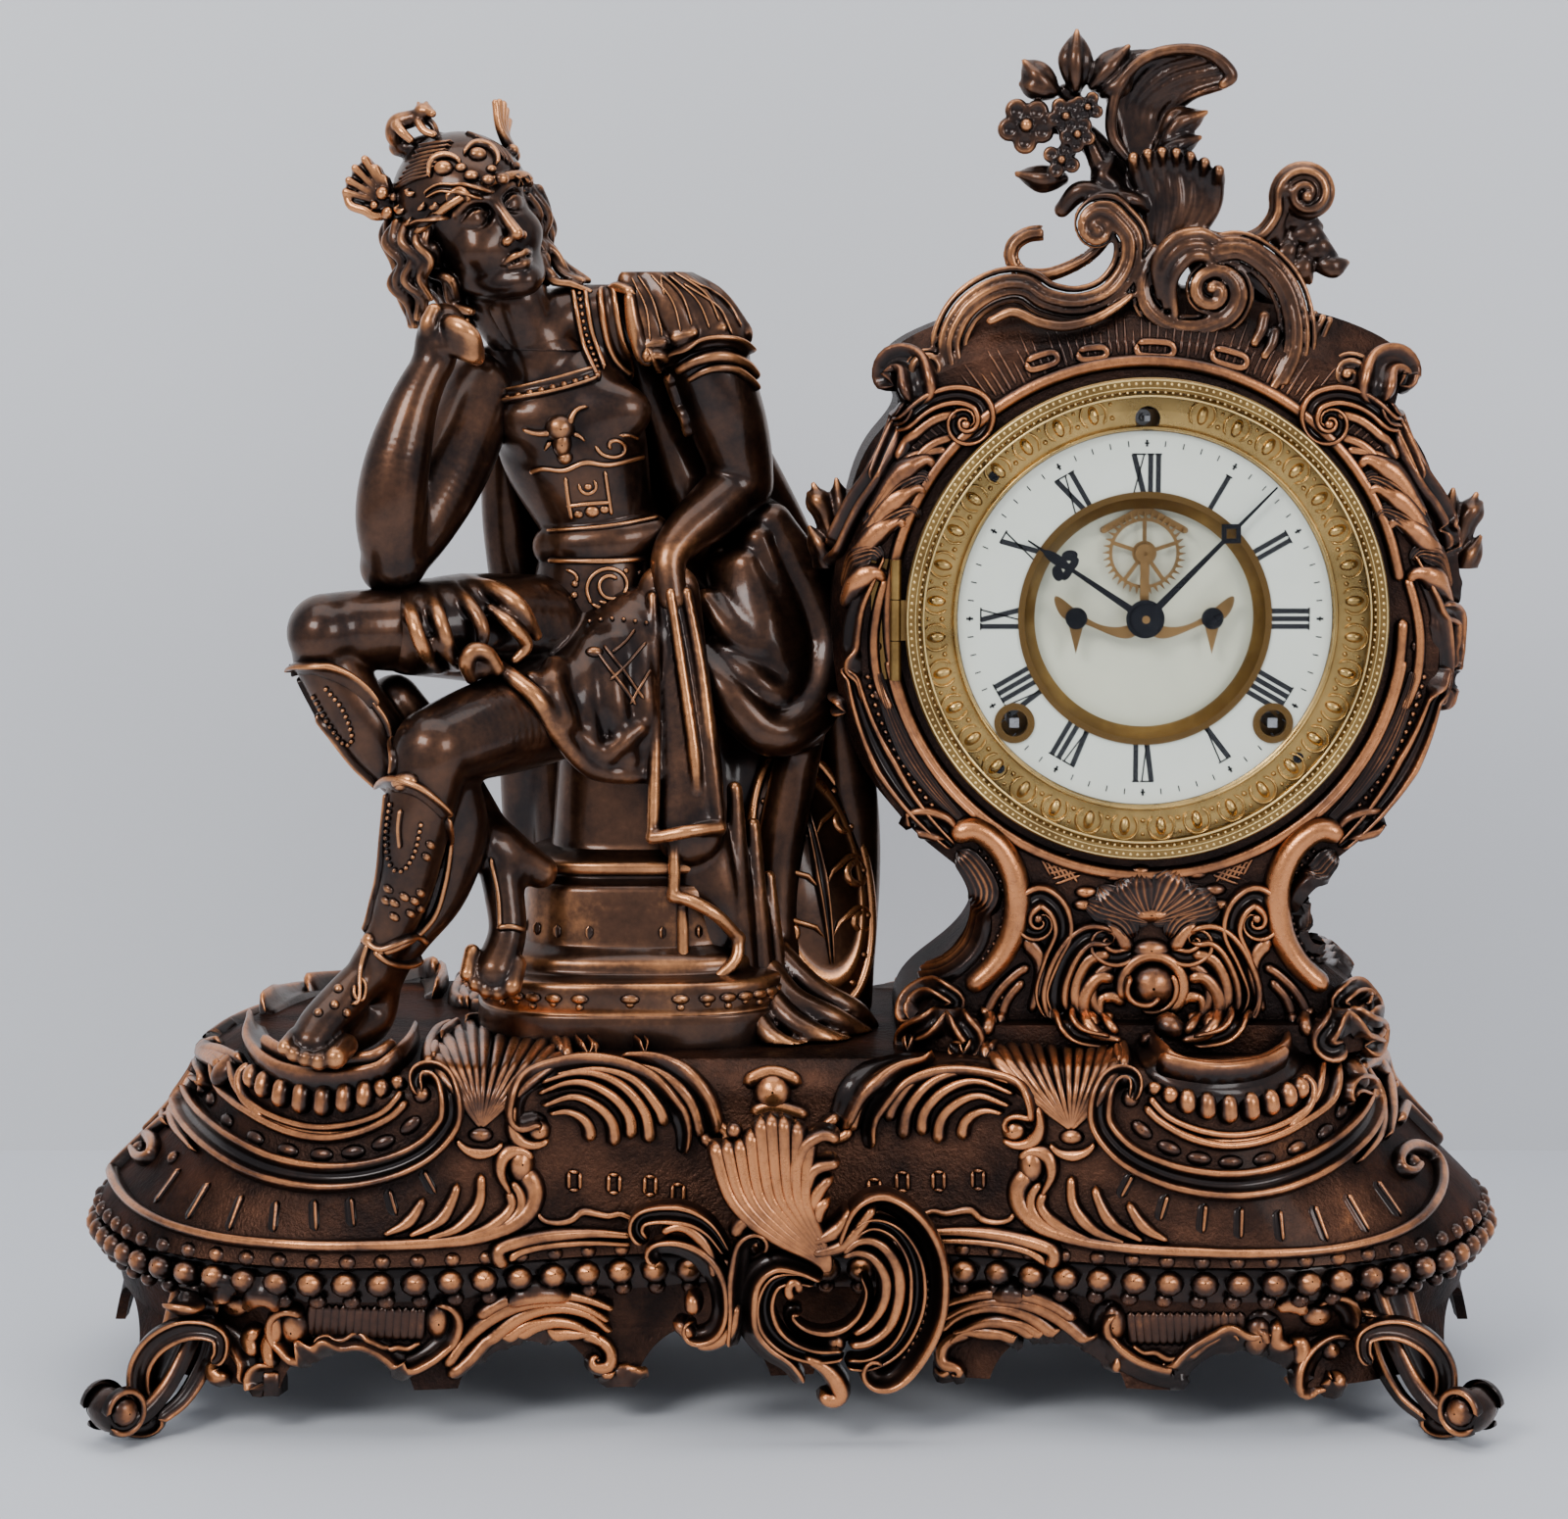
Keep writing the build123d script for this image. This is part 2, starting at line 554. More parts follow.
def case_wire(scale, depth):
    """Case outline at one depth, drawn in towards its foot by scale."""
    bottom = BASE_TOP - CLOCK_Z
    right = [(CASE_FOOT_SHARE * CASE_HALF_WIDTH, bottom)]
    right += [(x * CASE_HALF_WIDTH, z * CASE_HALF_WIDTH) for x, z in CASE_SHARES]
    left = [(-x, z) for x, z in reversed(right[:-1])]
    points = [(CLOCK_X + x * scale, depth, CLOCK_Z + bottom + (z - bottom) * scale)
              for x, z in right + left]
    return Wire([Spline(*points), Line(points[-1], points[0])])


def case_block():
    front_edge = CASE_FRONT + CASE_EDGE
    back_edge = CASE_BACK - CASE_EDGE
    return Solid.make_loft([case_wire(CASE_EDGE_SCALE, CASE_FRONT), case_wire(1, front_edge),
                            case_wire(1, back_edge), case_wire(CASE_EDGE_SCALE, CASE_BACK)], True)


def hinge_barrel(x, y, z, low, high, radius, bore):
    """One knuckle between two heights above the hinge's middle."""
    return Pos(x, y, z + (low + high) / 2) * (Cylinder(radius, high - low)
                                               - Cylinder(bore, high - low + OVERRUN))


def knuckle_spans(length):
    """Lower, middle and upper knuckle of a hinge."""
    third = length / 3 / 2
    edge = length / 2
    return [(-edge, -third - KNUCKLE_GAP), (-third, third), (third + KNUCKLE_GAP, edge)]


def rear_hinge_place():
    x = CLOCK_X - DOOR_RADIUS - HINGE_RADIUS - DOOR_GAP
    y = CASE_BACK + HINGE_RADIUS + DOOR_GAP
    return x, y, CLOCK_Z


def clock_case():
    foot_block = Pos(CLOCK_X, (CASE_FRONT + CASE_BACK) / 2, BASE_TOP + CASE_FOOT_HEIGHT / 2) * extrude(
        RectangleRounded(CASE_FOOT_LENGTH, CASE_FOOT_DEPTH, CASE_FOOT_CORNER),
        amount=CASE_FOOT_HEIGHT / 2, both=True)
    shape = case_block() + foot_block
    inside_back = CASE_BACK - BACK_WALL
    shape -= on_axis(CASE_BORE, inside_back, CASE_FRONT + FRONT_WALL + DIAL_LEDGE)
    shape -= on_axis(DIAL_OPENING, CASE_FRONT + FRONT_WALL, CASE_FRONT - CASE_EDGE)
    shape -= on_axis(LEDGE_BORE, CASE_BACK - CASE_EDGE, CASE_FRONT)
    shape -= on_axis(DOOR_OPENING, CASE_BACK + CASE_EDGE, 0)
    x, y, z = rear_hinge_place()
    low, _, high = knuckle_spans(DOOR_HINGE_LENGTH)
    for span in (low, high):
        shape += hinge_barrel(x, y, z, *span, HINGE_RADIUS, HINGE_PIN_RADIUS / 2)
        web = box_between((x - HINGE_RADIUS, CASE_BACK - DOOR_GAP, z + span[0]), (x, y, z + span[1]))
        shape += web
    shape -= Pos(x, y, z) * Cylinder(HINGE_PIN_RADIUS, DOOR_HINGE_LENGTH + HINGE_RADIUS)
    for side in (-1, 1):
        shape -= bolt_hole(CLOCK_X + side * CASE_BOLT_SPACING / 2)
    return solids_of(shape)


def crest_form(outline, back, depth):
    points = [(x * CASE_HALF_WIDTH, z * CASE_HALF_WIDTH) for x, z in outline]
    return face_on_dial(make_face(Spline(*points, periodic=True)), back, back - depth)


def case_crest():
    inner, outer = [share * CASE_HALF_WIDTH for share in CREST_ARCH_SHARES]
    arch = Circle(outer) - Circle(inner)
    reach = 2 * outer
    first = polar(reach, CREST_ARCH_START)
    middle = polar(reach, CREST_ARCH_START + CREST_ARCH_SWEEP / 2)
    last = polar(reach, CREST_ARCH_START + CREST_ARCH_SWEEP)
    arch = arch & make_face(Polyline((0, 0), first, middle, last, close=True))
    shape = face_on_dial(arch, CREST_BACK, CREST_BACK - CREST_DEPTH)
    for name, outline in CREST_OUTLINE_SHARES.items():
        depth = CREST_DEPTH if "scroll" in name or name == "shell" else CREST_DEPTH / 2
        shape += crest_form(outline, CREST_BACK, depth)
    for x, z, radius in CREST_VOLUTE_SHARES:
        shape += on_axis(radius * CASE_HALF_WIDTH, CREST_BACK, CREST_BACK - CREST_DEPTH - DIAL_LEDGE,
                         x * CASE_HALF_WIDTH, z * CASE_HALF_WIDTH)
    for x, z, radius in CREST_FLOWER_SHARES:
        shape += on_axis(radius * CASE_HALF_WIDTH, CREST_BACK, CREST_BACK - CREST_DEPTH * 2 / 3,
                         x * CASE_HALF_WIDTH, z * CASE_HALF_WIDTH)
    for x0, z0, x1, z1, half in CREST_TIP_SHARES:
        along = Vector(x1 - x0, 0, z1 - z0) * CASE_HALF_WIDTH
        root = Vector(CLOCK_X + x0 * CASE_HALF_WIDTH, CREST_BACK - CREST_DEPTH / 3,
                      CLOCK_Z + z0 * CASE_HALF_WIDTH)
        shape += Solid.make_cone(half * CASE_HALF_WIDTH, 0, along.length, Plane(root, z_dir=along))
    return largest_of(shape - case_block())


def case_side_leaves():
    leaves = [largest_of(crest_form(outline, LEAF_BACK, LEAF_DEPTH) - case_block())
              for outline in LEAF_OUTLINE_SHARES.values()]
    return Compound(leaves)


def rear_door():
    x, y, z = rear_hinge_place()
    front = CASE_BACK + DOOR_GAP
    _, middle, _ = knuckle_spans(DOOR_HINGE_LENGTH)
    door = on_axis(DOOR_RADIUS, front, front + DOOR_SHEET)
    strap = box_between((x, front, z + middle[0]), (x + 4 * HINGE_RADIUS, front + DOOR_SHEET, z + middle[1]))
    door += strap
    door += hinge_barrel(x, y, z, *middle, HINGE_RADIUS, HINGE_PIN_RADIUS / 2)
    door -= Pos(x, y, z) * Cylinder(HINGE_PIN_RADIUS + PIN_FIT, DOOR_HINGE_LENGTH)
    back = front + DOOR_SHEET
    knob = on_axis(DOOR_KNOB_RADIUS, back, back + DOOR_KNOB_DEPTH, DOOR_RADIUS - DOOR_KNOB_INSET)
    return Compound([largest_of(door), knob.solid()])


# Dial


def levels():
    """Depths along Y of the stacked pieces behind and in front of the dial."""
    y = {}
    y["ledge"] = CASE_FRONT + FRONT_WALL
    y["pan_front"] = y["ledge"] - PAN_SHEET
    y["dial_front"] = y["pan_front"] - DIAL_THICKNESS
    y["floor_front"] = y["pan_front"] + PAN_FLOOR_DEPTH
    y["floor_back"] = y["floor_front"] + PAN_SHEET
    y["disc_front"] = y["floor_front"] - DISC_SHEET
    y["front_plate"] = y["floor_back"] + MOTION_GAP
    y["inside_front"] = y["front_plate"] + PLATE_SHEET
    y["inside_back"] = y["inside_front"] + PLATE_GAP
    y["back_plate"] = y["inside_back"] + PLATE_SHEET
    y["hour_hand"] = y["dial_front"] - HOUR_HAND_STAND
    y["minute_hand"] = y["dial_front"] - MINUTE_HAND_STAND
    y["bezel_back"] = CASE_FRONT - BEZEL_GAP
    y["bezel_front"] = y["bezel_back"] - BEZEL_DEPTH
    y["glass_front"] = y["bezel_front"] + BEZEL_LIP
    return y


Y = levels()


def winding_places():
    return [(WINDING_X, WINDING_Z), (-WINDING_X, WINDING_Z)]


def dial_pan():
    rim, floor = Y["ledge"], Y["floor_front"]
    inner = DIAL_INNER
    points = [(0, floor), (inner, floor), (inner, Y["pan_front"]), (PAN_RADIUS, Y["pan_front"]),
              (PAN_RADIUS, rim), (inner + PAN_SHEET, rim), (inner + PAN_SHEET, Y["floor_back"]),
              (0, Y["floor_back"])]
    pan = turned(points)
    for x, z in winding_places():
        pan -= on_axis(GROMMET_TUBE, 0, CASE_FRONT, x, z)
    pan -= on_axis(DIAL_TAB_RADIUS, 0, CASE_FRONT, 0, REGULATOR_HEIGHT)
    pan -= on_axis(BRIDGE_BORE + RUN_GAP, 0, CASE_FRONT)
    pan -= on_axis(ARBOR_RADIUS + RUN_GAP, 0, CASE_FRONT, 0, ESCAPE_HEIGHT)
    pan -= on_axis(ARBOR_RADIUS + RUN_GAP, 0, CASE_FRONT, 0, ANCHOR_HEIGHT)
    for side in (-1, 1):
        pan -= on_axis(SCREW_SHANK, 0, CASE_FRONT, side * BRIDGE_SPAN / 2)
    return pan


def chapter_ring():
    ring = ring_on_axis(DIAL_RADIUS, DIAL_INNER, Y["pan_front"], Y["dial_front"])
    for x, z in winding_places():
        ring -= on_axis(GROMMET_TUBE, 0, CASE_FRONT, x, z)
    return ring


def inner_ring():
    front = Y["dial_front"]
    lip = front - RING_SHEET
    return turned([(DIAL_INNER + RING_LIP, front), (DIAL_INNER + RING_LIP, lip),
                   (DIAL_INNER - RING_LIP, lip), (RING_INNER, front + RING_DROP - RING_SHEET),
                   (RING_INNER + RING_SHEET, front + RING_DROP), (DIAL_INNER - RING_LIP / 4, front)])


def centre_disc():
    disc = on_axis(DISC_RADIUS, Y["floor_front"], Y["disc_front"])
    disc -= on_axis(BRIDGE_BORE + RUN_GAP, 0, CASE_FRONT)
    disc -= on_axis(ARBOR_RADIUS + RUN_GAP, 0, CASE_FRONT, 0, ESCAPE_HEIGHT)
    disc -= on_axis(ARBOR_RADIUS + RUN_GAP, 0, CASE_FRONT, 0, ANCHOR_HEIGHT)
    for side in (-1, 1):
        disc -= on_axis(SCREW_SHANK, 0, CASE_FRONT, side * BRIDGE_SPAN / 2)
    return disc


def winding_grommets():
    rings = []
    for x, z in winding_places():
        flange = on_axis(GROMMET_OUTER, Y["dial_front"], Y["dial_front"] - RING_SHEET, x, z)
        tube = on_axis(GROMMET_TUBE, Y["ledge"], Y["dial_front"], x, z)
        bore = on_axis(GROMMET_INNER, 0, CASE_FRONT - BEZEL_DEPTH, x, z)
        rings.append((flange + tube - bore).solid())
    return Compound(rings)


def dial_surround():
    """Embossed ring between the dial and the bezel, as a raised sheet."""
    seat, rise = Y["pan_front"], Y["pan_front"] - SURROUND_RISE
    inner_lip = Y["dial_front"] - SURROUND_STEP / 4
    middle = (DIAL_RADIUS + SURROUND_RADIUS) / 2
    ring = turned([(DIAL_RADIUS + DOOR_GAP, seat), (DIAL_RADIUS + DOOR_GAP, inner_lip),
                   (DIAL_RADIUS + SURROUND_STEP, inner_lip - SURROUND_STEP / 2), (middle, rise),
                   (SURROUND_RADIUS, rise), (SURROUND_RADIUS, seat)])
    ring -= on_axis(DIAL_TAB_RADIUS, 0, CASE_FRONT - BEZEL_DEPTH, 0, REGULATOR_HEIGHT)
    for angle in SURROUND_SCREW_ANGLES:
        x, z = polar(SURROUND_SCREW_CIRCLE, angle)
        ring -= on_axis(SURROUND_SCREW_RADIUS, Y["pan_front"], CASE_FRONT - BEZEL_DEPTH, x, z)
    return ring


def slotted_screw(radius, x, z, seat, front, slot_turn):
    """Screw head between two depths, with a slot across it."""
    head = on_axis(radius, seat, front, x, z)
    slot = Rectangle(2 * radius + SCREW_SLOT, SCREW_SLOT)
    cut = face_on_dial(Rot(0, 0, slot_turn) * slot, front + SCREW_SINK, front - SCREW_SINK, x, z)
    return (head - cut).solid()


def dial_screws():
    """Screws of the escapement bridge and of the dial surround."""
    screws = []
    bridge_front = Y["disc_front"] - BRIDGE_STAND - BRIDGE_SHEET
    for side in (-1, 1):
        x = side * BRIDGE_SPAN / 2
        head = slotted_screw(SCREW_HEAD, x, 0, bridge_front, bridge_front - SCREW_HEAD_HEIGHT, side * 35)
        shank = on_axis(SCREW_SHANK, Y["floor_back"], bridge_front, x, 0)
        screws.append((head + shank).solid())
    for angle in SURROUND_SCREW_ANGLES:
        x, z = polar(SURROUND_SCREW_CIRCLE, angle)
        screws.append(slotted_screw(SURROUND_SCREW_RADIUS, x, z, Y["pan_front"],
                                    Y["pan_front"] - SURROUND_RISE - SCREW_SINK, angle))
    return Compound(screws)


# Bezel


def bezel_hinge_axis():
    x = CLOCK_X - BEZEL_OUTER - HINGE_STAND
    y = (Y["bezel_back"] + Y["bezel_front"]) / 2
    return x, y, CLOCK_Z


def bezel_ring():
    back, front = Y["bezel_back"], Y["bezel_front"]
    glass = Y["glass_front"]
    edge = HINGE_RADIUS / 2
    ring = turned([(BEZEL_REBATE, back), (BEZEL_OUTER, back), (BEZEL_OUTER, front + edge),
                   (BEZEL_OUTER - edge, front), (BEZEL_INNER + edge, front), (BEZEL_INNER, glass),
                   (BEZEL_REBATE, glass)])
    x, y, z = bezel_hinge_axis()
    _, middle, _ = knuckle_spans(HINGE_LENGTH)
    ring += hinge_barrel(x, y, z, *middle, HINGE_RADIUS, HINGE_PIN_RADIUS / 2)
    web = box_between((x, y - HINGE_RADIUS / 2, z + middle[0]),
                      (x + 2 * HINGE_STAND, y + HINGE_RADIUS / 2, z + middle[1]))
    ring += web & on_axis(BEZEL_OUTER + HINGE_STAND, back, front) - on_axis(BEZEL_OUTER - edge, back, front)
    ring -= Pos(x, y, z) * Cylinder(HINGE_PIN_RADIUS + PIN_FIT, HINGE_LENGTH)
    return largest_of(ring)


def bezel_glass():
    radius = BEZEL_REBATE - DOOR_GAP
    front = Y["glass_front"]
    back = front + GLASS_SHEET
    return turned([(0, front), (radius - 2 * GLASS_BEVEL, front), (radius, front + GLASS_BEVEL),
                   (radius, back), (0, back)])


def hinge_fittings():
    """Fixed leaf of the bezel's hinge, its pin, and the pin of the rear door."""
    x, y, z = bezel_hinge_axis()
    low, _, high = knuckle_spans(HINGE_LENGTH)
    leaf = box_between((x - HINGE_LEAF_WIDTH, CASE_FRONT - HINGE_LEAF_SHEET, z - HINGE_LENGTH / 2),
                       (x - HINGE_LEAF_SHEET, CASE_FRONT, z + HINGE_LENGTH / 2))
    for span in (low, high):
        leaf += hinge_barrel(x, y, z, *span, HINGE_RADIUS, HINGE_PIN_RADIUS / 2)
        leaf += box_between((x - HINGE_RADIUS, y, z + span[0]),
                            (x - HINGE_LEAF_SHEET, CASE_FRONT, z + span[1]))
    leaf -= Pos(x, y, z) * Cylinder(HINGE_PIN_RADIUS, HINGE_LENGTH + HINGE_RADIUS)
    pins = [Pos(*bezel_hinge_axis()) * Cylinder(HINGE_PIN_RADIUS, HINGE_LENGTH),
            Pos(*rear_hinge_place()) * Cylinder(HINGE_PIN_RADIUS, DOOR_HINGE_LENGTH)]
    return Compound([largest_of(leaf)] + [pin.solid() for pin in pins])


# Hands


def hand_blade(length, start, root, tip):
    return make_face(Polyline((-root, start), (-tip, length), (tip, length), (root, start), close=True))


def hour_hand():
    leaf = HOUR_LEAF_SHARE * HOUR_HAND_LENGTH
    wide = HOUR_LEAF_WIDTH / 2
    sketch = Circle(HAND_BOSS) + hand_blade(HOUR_HAND_LENGTH, 0, HAND_STEM, HAND_TAPER / 2)
    for side in (-1, 1):
        petal = Ellipse(wide / 2, wide / 3)
        sketch += Pos(side * wide * 2 / 3, leaf + wide / 2) * Rot(0, 0, side * -50) * petal
        sketch += Pos(side * wide / 3, leaf) * Ellipse(wide / 2, HAND_STEM)
    sketch += Pos(0, leaf + wide) * Ellipse(wide / 3, wide)
    sketch -= Circle(HOUR_PIPE_OUTER)
    back = Y["hour_hand"]
    return face_on_dial(Rot(0, 0, -HOUR_ANGLE) * sketch, back, back - HAND_SHEET)


def minute_hand():
    diamond = MINUTE_DIAMOND
    middle = MINUTE_DIAMOND_SHARE * MINUTE_HAND_LENGTH
    outer = Pos(0, middle) * Rot(0, 0, 45) * Rectangle(2 * diamond, 2 * diamond)
    inner = Pos(0, middle) * Rot(0, 0, 45) * Rectangle(diamond, diamond)
    sketch = Circle(MINUTE_BOSS) + hand_blade(MINUTE_HAND_LENGTH, 0, HAND_STEM, HAND_TAPER / 2)
    sketch = sketch + outer - inner - Circle(CANNON_OUTER)
    back = Y["minute_hand"]
    hand = face_on_dial(Rot(0, 0, -MINUTE_ANGLE) * sketch, back, back - HAND_SHEET)
    front = back - HAND_SHEET
    washer = ring_on_axis(WASHER_RADIUS, ARBOR_RADIUS, front, front - WASHER_SHEET)
    return Compound([hand.solid(), washer.solid()])


# Wheels


def tooth_ring(teeth, module, turn, root, tip, tooth_shares):
    """Toothed outline; tooth shares are half widths at root, pitch and tip in tooth pitches."""
    radius = teeth * module / 2
    pitch = 360 / teeth
    at_root, at_pitch, at_tip = tooth_shares
    points = []
    for i in range(teeth):
        angle = turn + i * pitch
        for reach, share in ((root, -at_root), (0, -at_pitch), (tip, -at_tip),
                             (tip, at_tip), (0, at_pitch), (root, at_root)):
            points.append(polar(radius + reach * module, angle + share * pitch))
    return make_face(Polyline(*points, close=True))


def wheel_sketch(teeth, module, turn, hub, spokes=SPOKES):
    """Crossed-out wheel: toothed rim, spokes and hub."""
    radius = teeth * module / 2
    sketch = tooth_ring(teeth, module, turn, WHEEL_ROOT_SHARE, WHEEL_TIP_SHARE, WHEEL_TOOTH_SHARES)
    sketch -= Circle(RIM_SHARE * radius)
    for i in range(spokes):
        arm = Pos(RIM_SHARE * radius / 2, 0) * Rectangle(RIM_SHARE * radius + module, SPOKE_SHARE * radius)
        sketch += Rot(0, 0, i * 360 / spokes) * arm
    return sketch + Circle(hub)


def pinion_sketch(teeth, module, turn):
    return tooth_ring(teeth, module, turn, PINION_ROOT_SHARE, PINION_TIP_SHARE, PINION_TOOTH_SHARES)


def bearing(a, b):
    return math.degrees(math.atan2(b[1] - a[1], b[0] - a[0]))


def mesh_turn(driver, driver_teeth, driver_turn, driven, driven_teeth):
    """Turn of the driven teeth that puts a gap over the driver's tooth."""
    line = bearing(driver, driven)
    offset = (line - driver_turn) / (360 / driver_teeth)
    pitch = 360 / driven_teeth
    return line + 180 + offset * pitch - pitch / 2


def mesh_distance(a, b, module):
    return (a + b) * module / 2 + MESH_EASE


def meeting_point(a, reach_a, b, reach_b, side):
    """Point at given distances from two others, on one side of the line between them."""
    gap = math.dist(a, b)
    along = (reach_a ** 2 - reach_b ** 2 + gap ** 2) / (2 * gap)
    off = math.sqrt(reach_a ** 2 - along ** 2)
    dx, dz = (b[0] - a[0]) / gap, (b[1] - a[1]) / gap
    return (a[0] + along * dx - side * off * dz, a[1] + along * dz + side * off * dx)


def step_from(place, reach, angle):
    dx, dz = polar(reach, angle)
    return (place[0] + dx, place[1] + dz)


CENTRE = (0, 0)
ESCAPE_PIVOT = ESCAPE_PINION * FOURTH_MODULE * PIVOT_SHARE
TIME_GREAT = (WINDING_X, WINDING_Z)
STRIKE_GREAT = (-WINDING_X, WINDING_Z)
ESCAPE = (0, ESCAPE_HEIGHT)
ANCHOR = (0, ANCHOR_HEIGHT)
HAMMER = (HAMMER_X, HAMMER_Z)
REGULATOR = (0, REGULATOR_HEIGHT)
PILLAR_PLACES = [(across * PLATE_HALF_WIDTH, up * PLATE_HALF_WIDTH) for across, up in PILLAR_SHARES]
SECOND = meeting_point(CENTRE, mesh_distance(SECOND_TEETH, CENTRE_PINION, SECOND_MODULE),
                       TIME_GREAT, mesh_distance(GREAT_TEETH, SECOND_PINION, GREAT_MODULE), 1)
FOURTH = meeting_point(CENTRE, mesh_distance(CENTRE_TEETH, FOURTH_PINION, CENTRE_MODULE),
                       ESCAPE, mesh_distance(FOURTH_TEETH, ESCAPE_PINION, FOURTH_MODULE), 1)
STRIKE_SECOND = step_from(STRIKE_GREAT, mesh_distance(GREAT_TEETH, SECOND_PINION, GREAT_MODULE),
                          STRIKE_SECOND_ANGLE)
THIRD = step_from(STRIKE_SECOND, mesh_distance(STRIKE_SECOND_TEETH, THIRD_PINION, STRIKE_SECOND_MODULE),
                  STRIKE_THIRD_ANGLE)
FLY = step_from(THIRD, mesh_distance(THIRD_TEETH, FLY_PINION, THIRD_MODULE), FLY_ANGLE)
MOTION_DISTANCE = mesh_distance(CANNON_TEETH, MINUTE_TEETH, CANNON_MODULE)
MOTION_MODULE = 2 * (MOTION_DISTANCE - MESH_EASE) / (MINUTE_PINION + HOUR_TEETH)
MINUTE_ARBOR = step_from(CENTRE, MOTION_DISTANCE, MINUTE_ARBOR_ANGLE)
HOUR_PIPE_INNER = CANNON_OUTER + PIN_FIT


def depth(level):
    """Depth of a level between the plates."""
    return Y["inside_front"] + level


def arbor(place, front, back):
    """Arbor between the plates with a pivot through each of them."""
    x, z = place
    body = on_axis(ARBOR_RADIUS, back - RUN_GAP, front + RUN_GAP, x, z)
    return body + on_axis(PIVOT_RADIUS, back + PLATE_SHEET, front - PLATE_SHEET, x, z)


def plate_arbor(place):
    return arbor(place, Y["inside_front"], Y["inside_back"])


def flat_wheel(sketch, place, level, width=WHEEL_SHEET):
    return face_on_dial(sketch, depth(level) + width, depth(level), *place)


def pinion_on(place, teeth, module, turn, level, width):
    """Leaf pinion that reaches past both faces of the wheel that drives it."""
    over = (PINION_LENGTH - WHEEL_SHEET) / 2
    sketch = pinion_sketch(teeth, module, turn)
    return face_on_dial(sketch, depth(level) + width + over, depth(level) - over, *place)


def time_great_wheel():
    sketch = wheel_sketch(GREAT_TEETH, GREAT_MODULE, 0, 2 * HUB_RADIUS)
    sketch -= Circle(WINDING_ARBOR_RADIUS + PIN_FIT)
    return flat_wheel(sketch, TIME_GREAT, GREAT_LEVEL, GREAT_WIDTH).solid()


def strike_great_wheel():
    sketch = wheel_sketch(GREAT_TEETH, GREAT_MODULE, 0, 2 * HUB_RADIUS)
    sketch -= Circle(WINDING_ARBOR_RADIUS + PIN_FIT)
    return flat_wheel(sketch, STRIKE_GREAT, GREAT_LEVEL, GREAT_WIDTH).solid()


def time_second_wheel():
    turn = mesh_turn(TIME_GREAT, GREAT_TEETH, 0, SECOND, SECOND_PINION)
    shape = plate_arbor(SECOND)
    shape += pinion_on(SECOND, SECOND_PINION, GREAT_MODULE, turn, GREAT_LEVEL, GREAT_WIDTH)
    shape += flat_wheel(wheel_sketch(SECOND_TEETH, SECOND_MODULE, 0, HUB_RADIUS), SECOND, SECOND_LEVEL)
    return shape.solid()


def centre_wheel():
    turn = mesh_turn(SECOND, SECOND_TEETH, 0, CENTRE, CENTRE_PINION)
    front = Y["minute_hand"] - HAND_SHEET - WASHER_SHEET
    shape = on_axis(ARBOR_RADIUS, Y["inside_back"] - RUN_GAP, front)
    shape += on_axis(PIVOT_RADIUS, Y["back_plate"], Y["inside_back"] - RUN_GAP)
    shape += pinion_on(CENTRE, CENTRE_PINION, SECOND_MODULE, turn, SECOND_LEVEL, WHEEL_SHEET)
    shape += flat_wheel(wheel_sketch(CENTRE_TEETH, CENTRE_MODULE, 0, HUB_RADIUS), CENTRE, CENTRE_LEVEL)
    return shape.solid()


def fourth_wheel():
    turn = mesh_turn(CENTRE, CENTRE_TEETH, 0, FOURTH, FOURTH_PINION)
    shape = on_axis(PIVOT_RADIUS, Y["back_plate"], Y["front_plate"], *FOURTH)
    shape += on_axis(FOURTH_PINION * CENTRE_MODULE * PIVOT_SHARE, Y["inside_back"] - RUN_GAP,
                     Y["inside_front"] + RUN_GAP, *FOURTH)
    shape += pinion_on(FOURTH, FOURTH_PINION, CENTRE_MODULE, turn, CENTRE_LEVEL, WHEEL_SHEET)
    shape += flat_wheel(wheel_sketch(FOURTH_TEETH, FOURTH_MODULE, 0, HUB_RADIUS / 2), FOURTH, FOURTH_LEVEL)
    return shape.solid()


def escape_wheel():
    turn = mesh_turn(FOURTH, FOURTH_TEETH, 0, ESCAPE, ESCAPE_PINION)
    back = Y["disc_front"] - ESCAPE_STAND
    front = back - WHEEL_SHEET
    pitch = 360 / ESCAPE_TEETH
    before, tip, after = [share * pitch for share in ESCAPE_TOOTH_SHARES]
    points = []
    for i in range(ESCAPE_TEETH):
        points.append(polar(ESCAPE_ROOT, i * pitch - before))
        points.append(polar(ESCAPE_RADIUS, i * pitch - tip))
        points.append(polar(ESCAPE_RADIUS, i * pitch + tip))
        points.append(polar(ESCAPE_ROOT, i * pitch + after))
    sketch = make_face(Polyline(*points, close=True)) - Circle(ESCAPE_RIM)
    for i in range(ESCAPE_SPOKES):
        arm = Pos(ESCAPE_RIM / 2, 0) * Rectangle(ESCAPE_RIM + WHEEL_SHEET / 2, ARBOR_RADIUS)
        sketch += Rot(0, 0, 90 + i * 360 / ESCAPE_SPOKES) * arm
    sketch += Circle(ESCAPE_HUB)
    shape = face_on_dial(sketch, back, front, *ESCAPE)
    pivot = ESCAPE_PIVOT
    shape += on_axis(pivot, Y["inside_back"] - RUN_GAP, front - RUN_GAP, *ESCAPE)
    shape += on_axis(pivot - 2 * PIN_FIT, Y["back_plate"], front - BRIDGE_SHEET - RUN_GAP, *ESCAPE)
    shape += pinion_on(ESCAPE, ESCAPE_PINION, FOURTH_MODULE, turn, FOURTH_LEVEL, WHEEL_SHEET)
    return shape.solid()


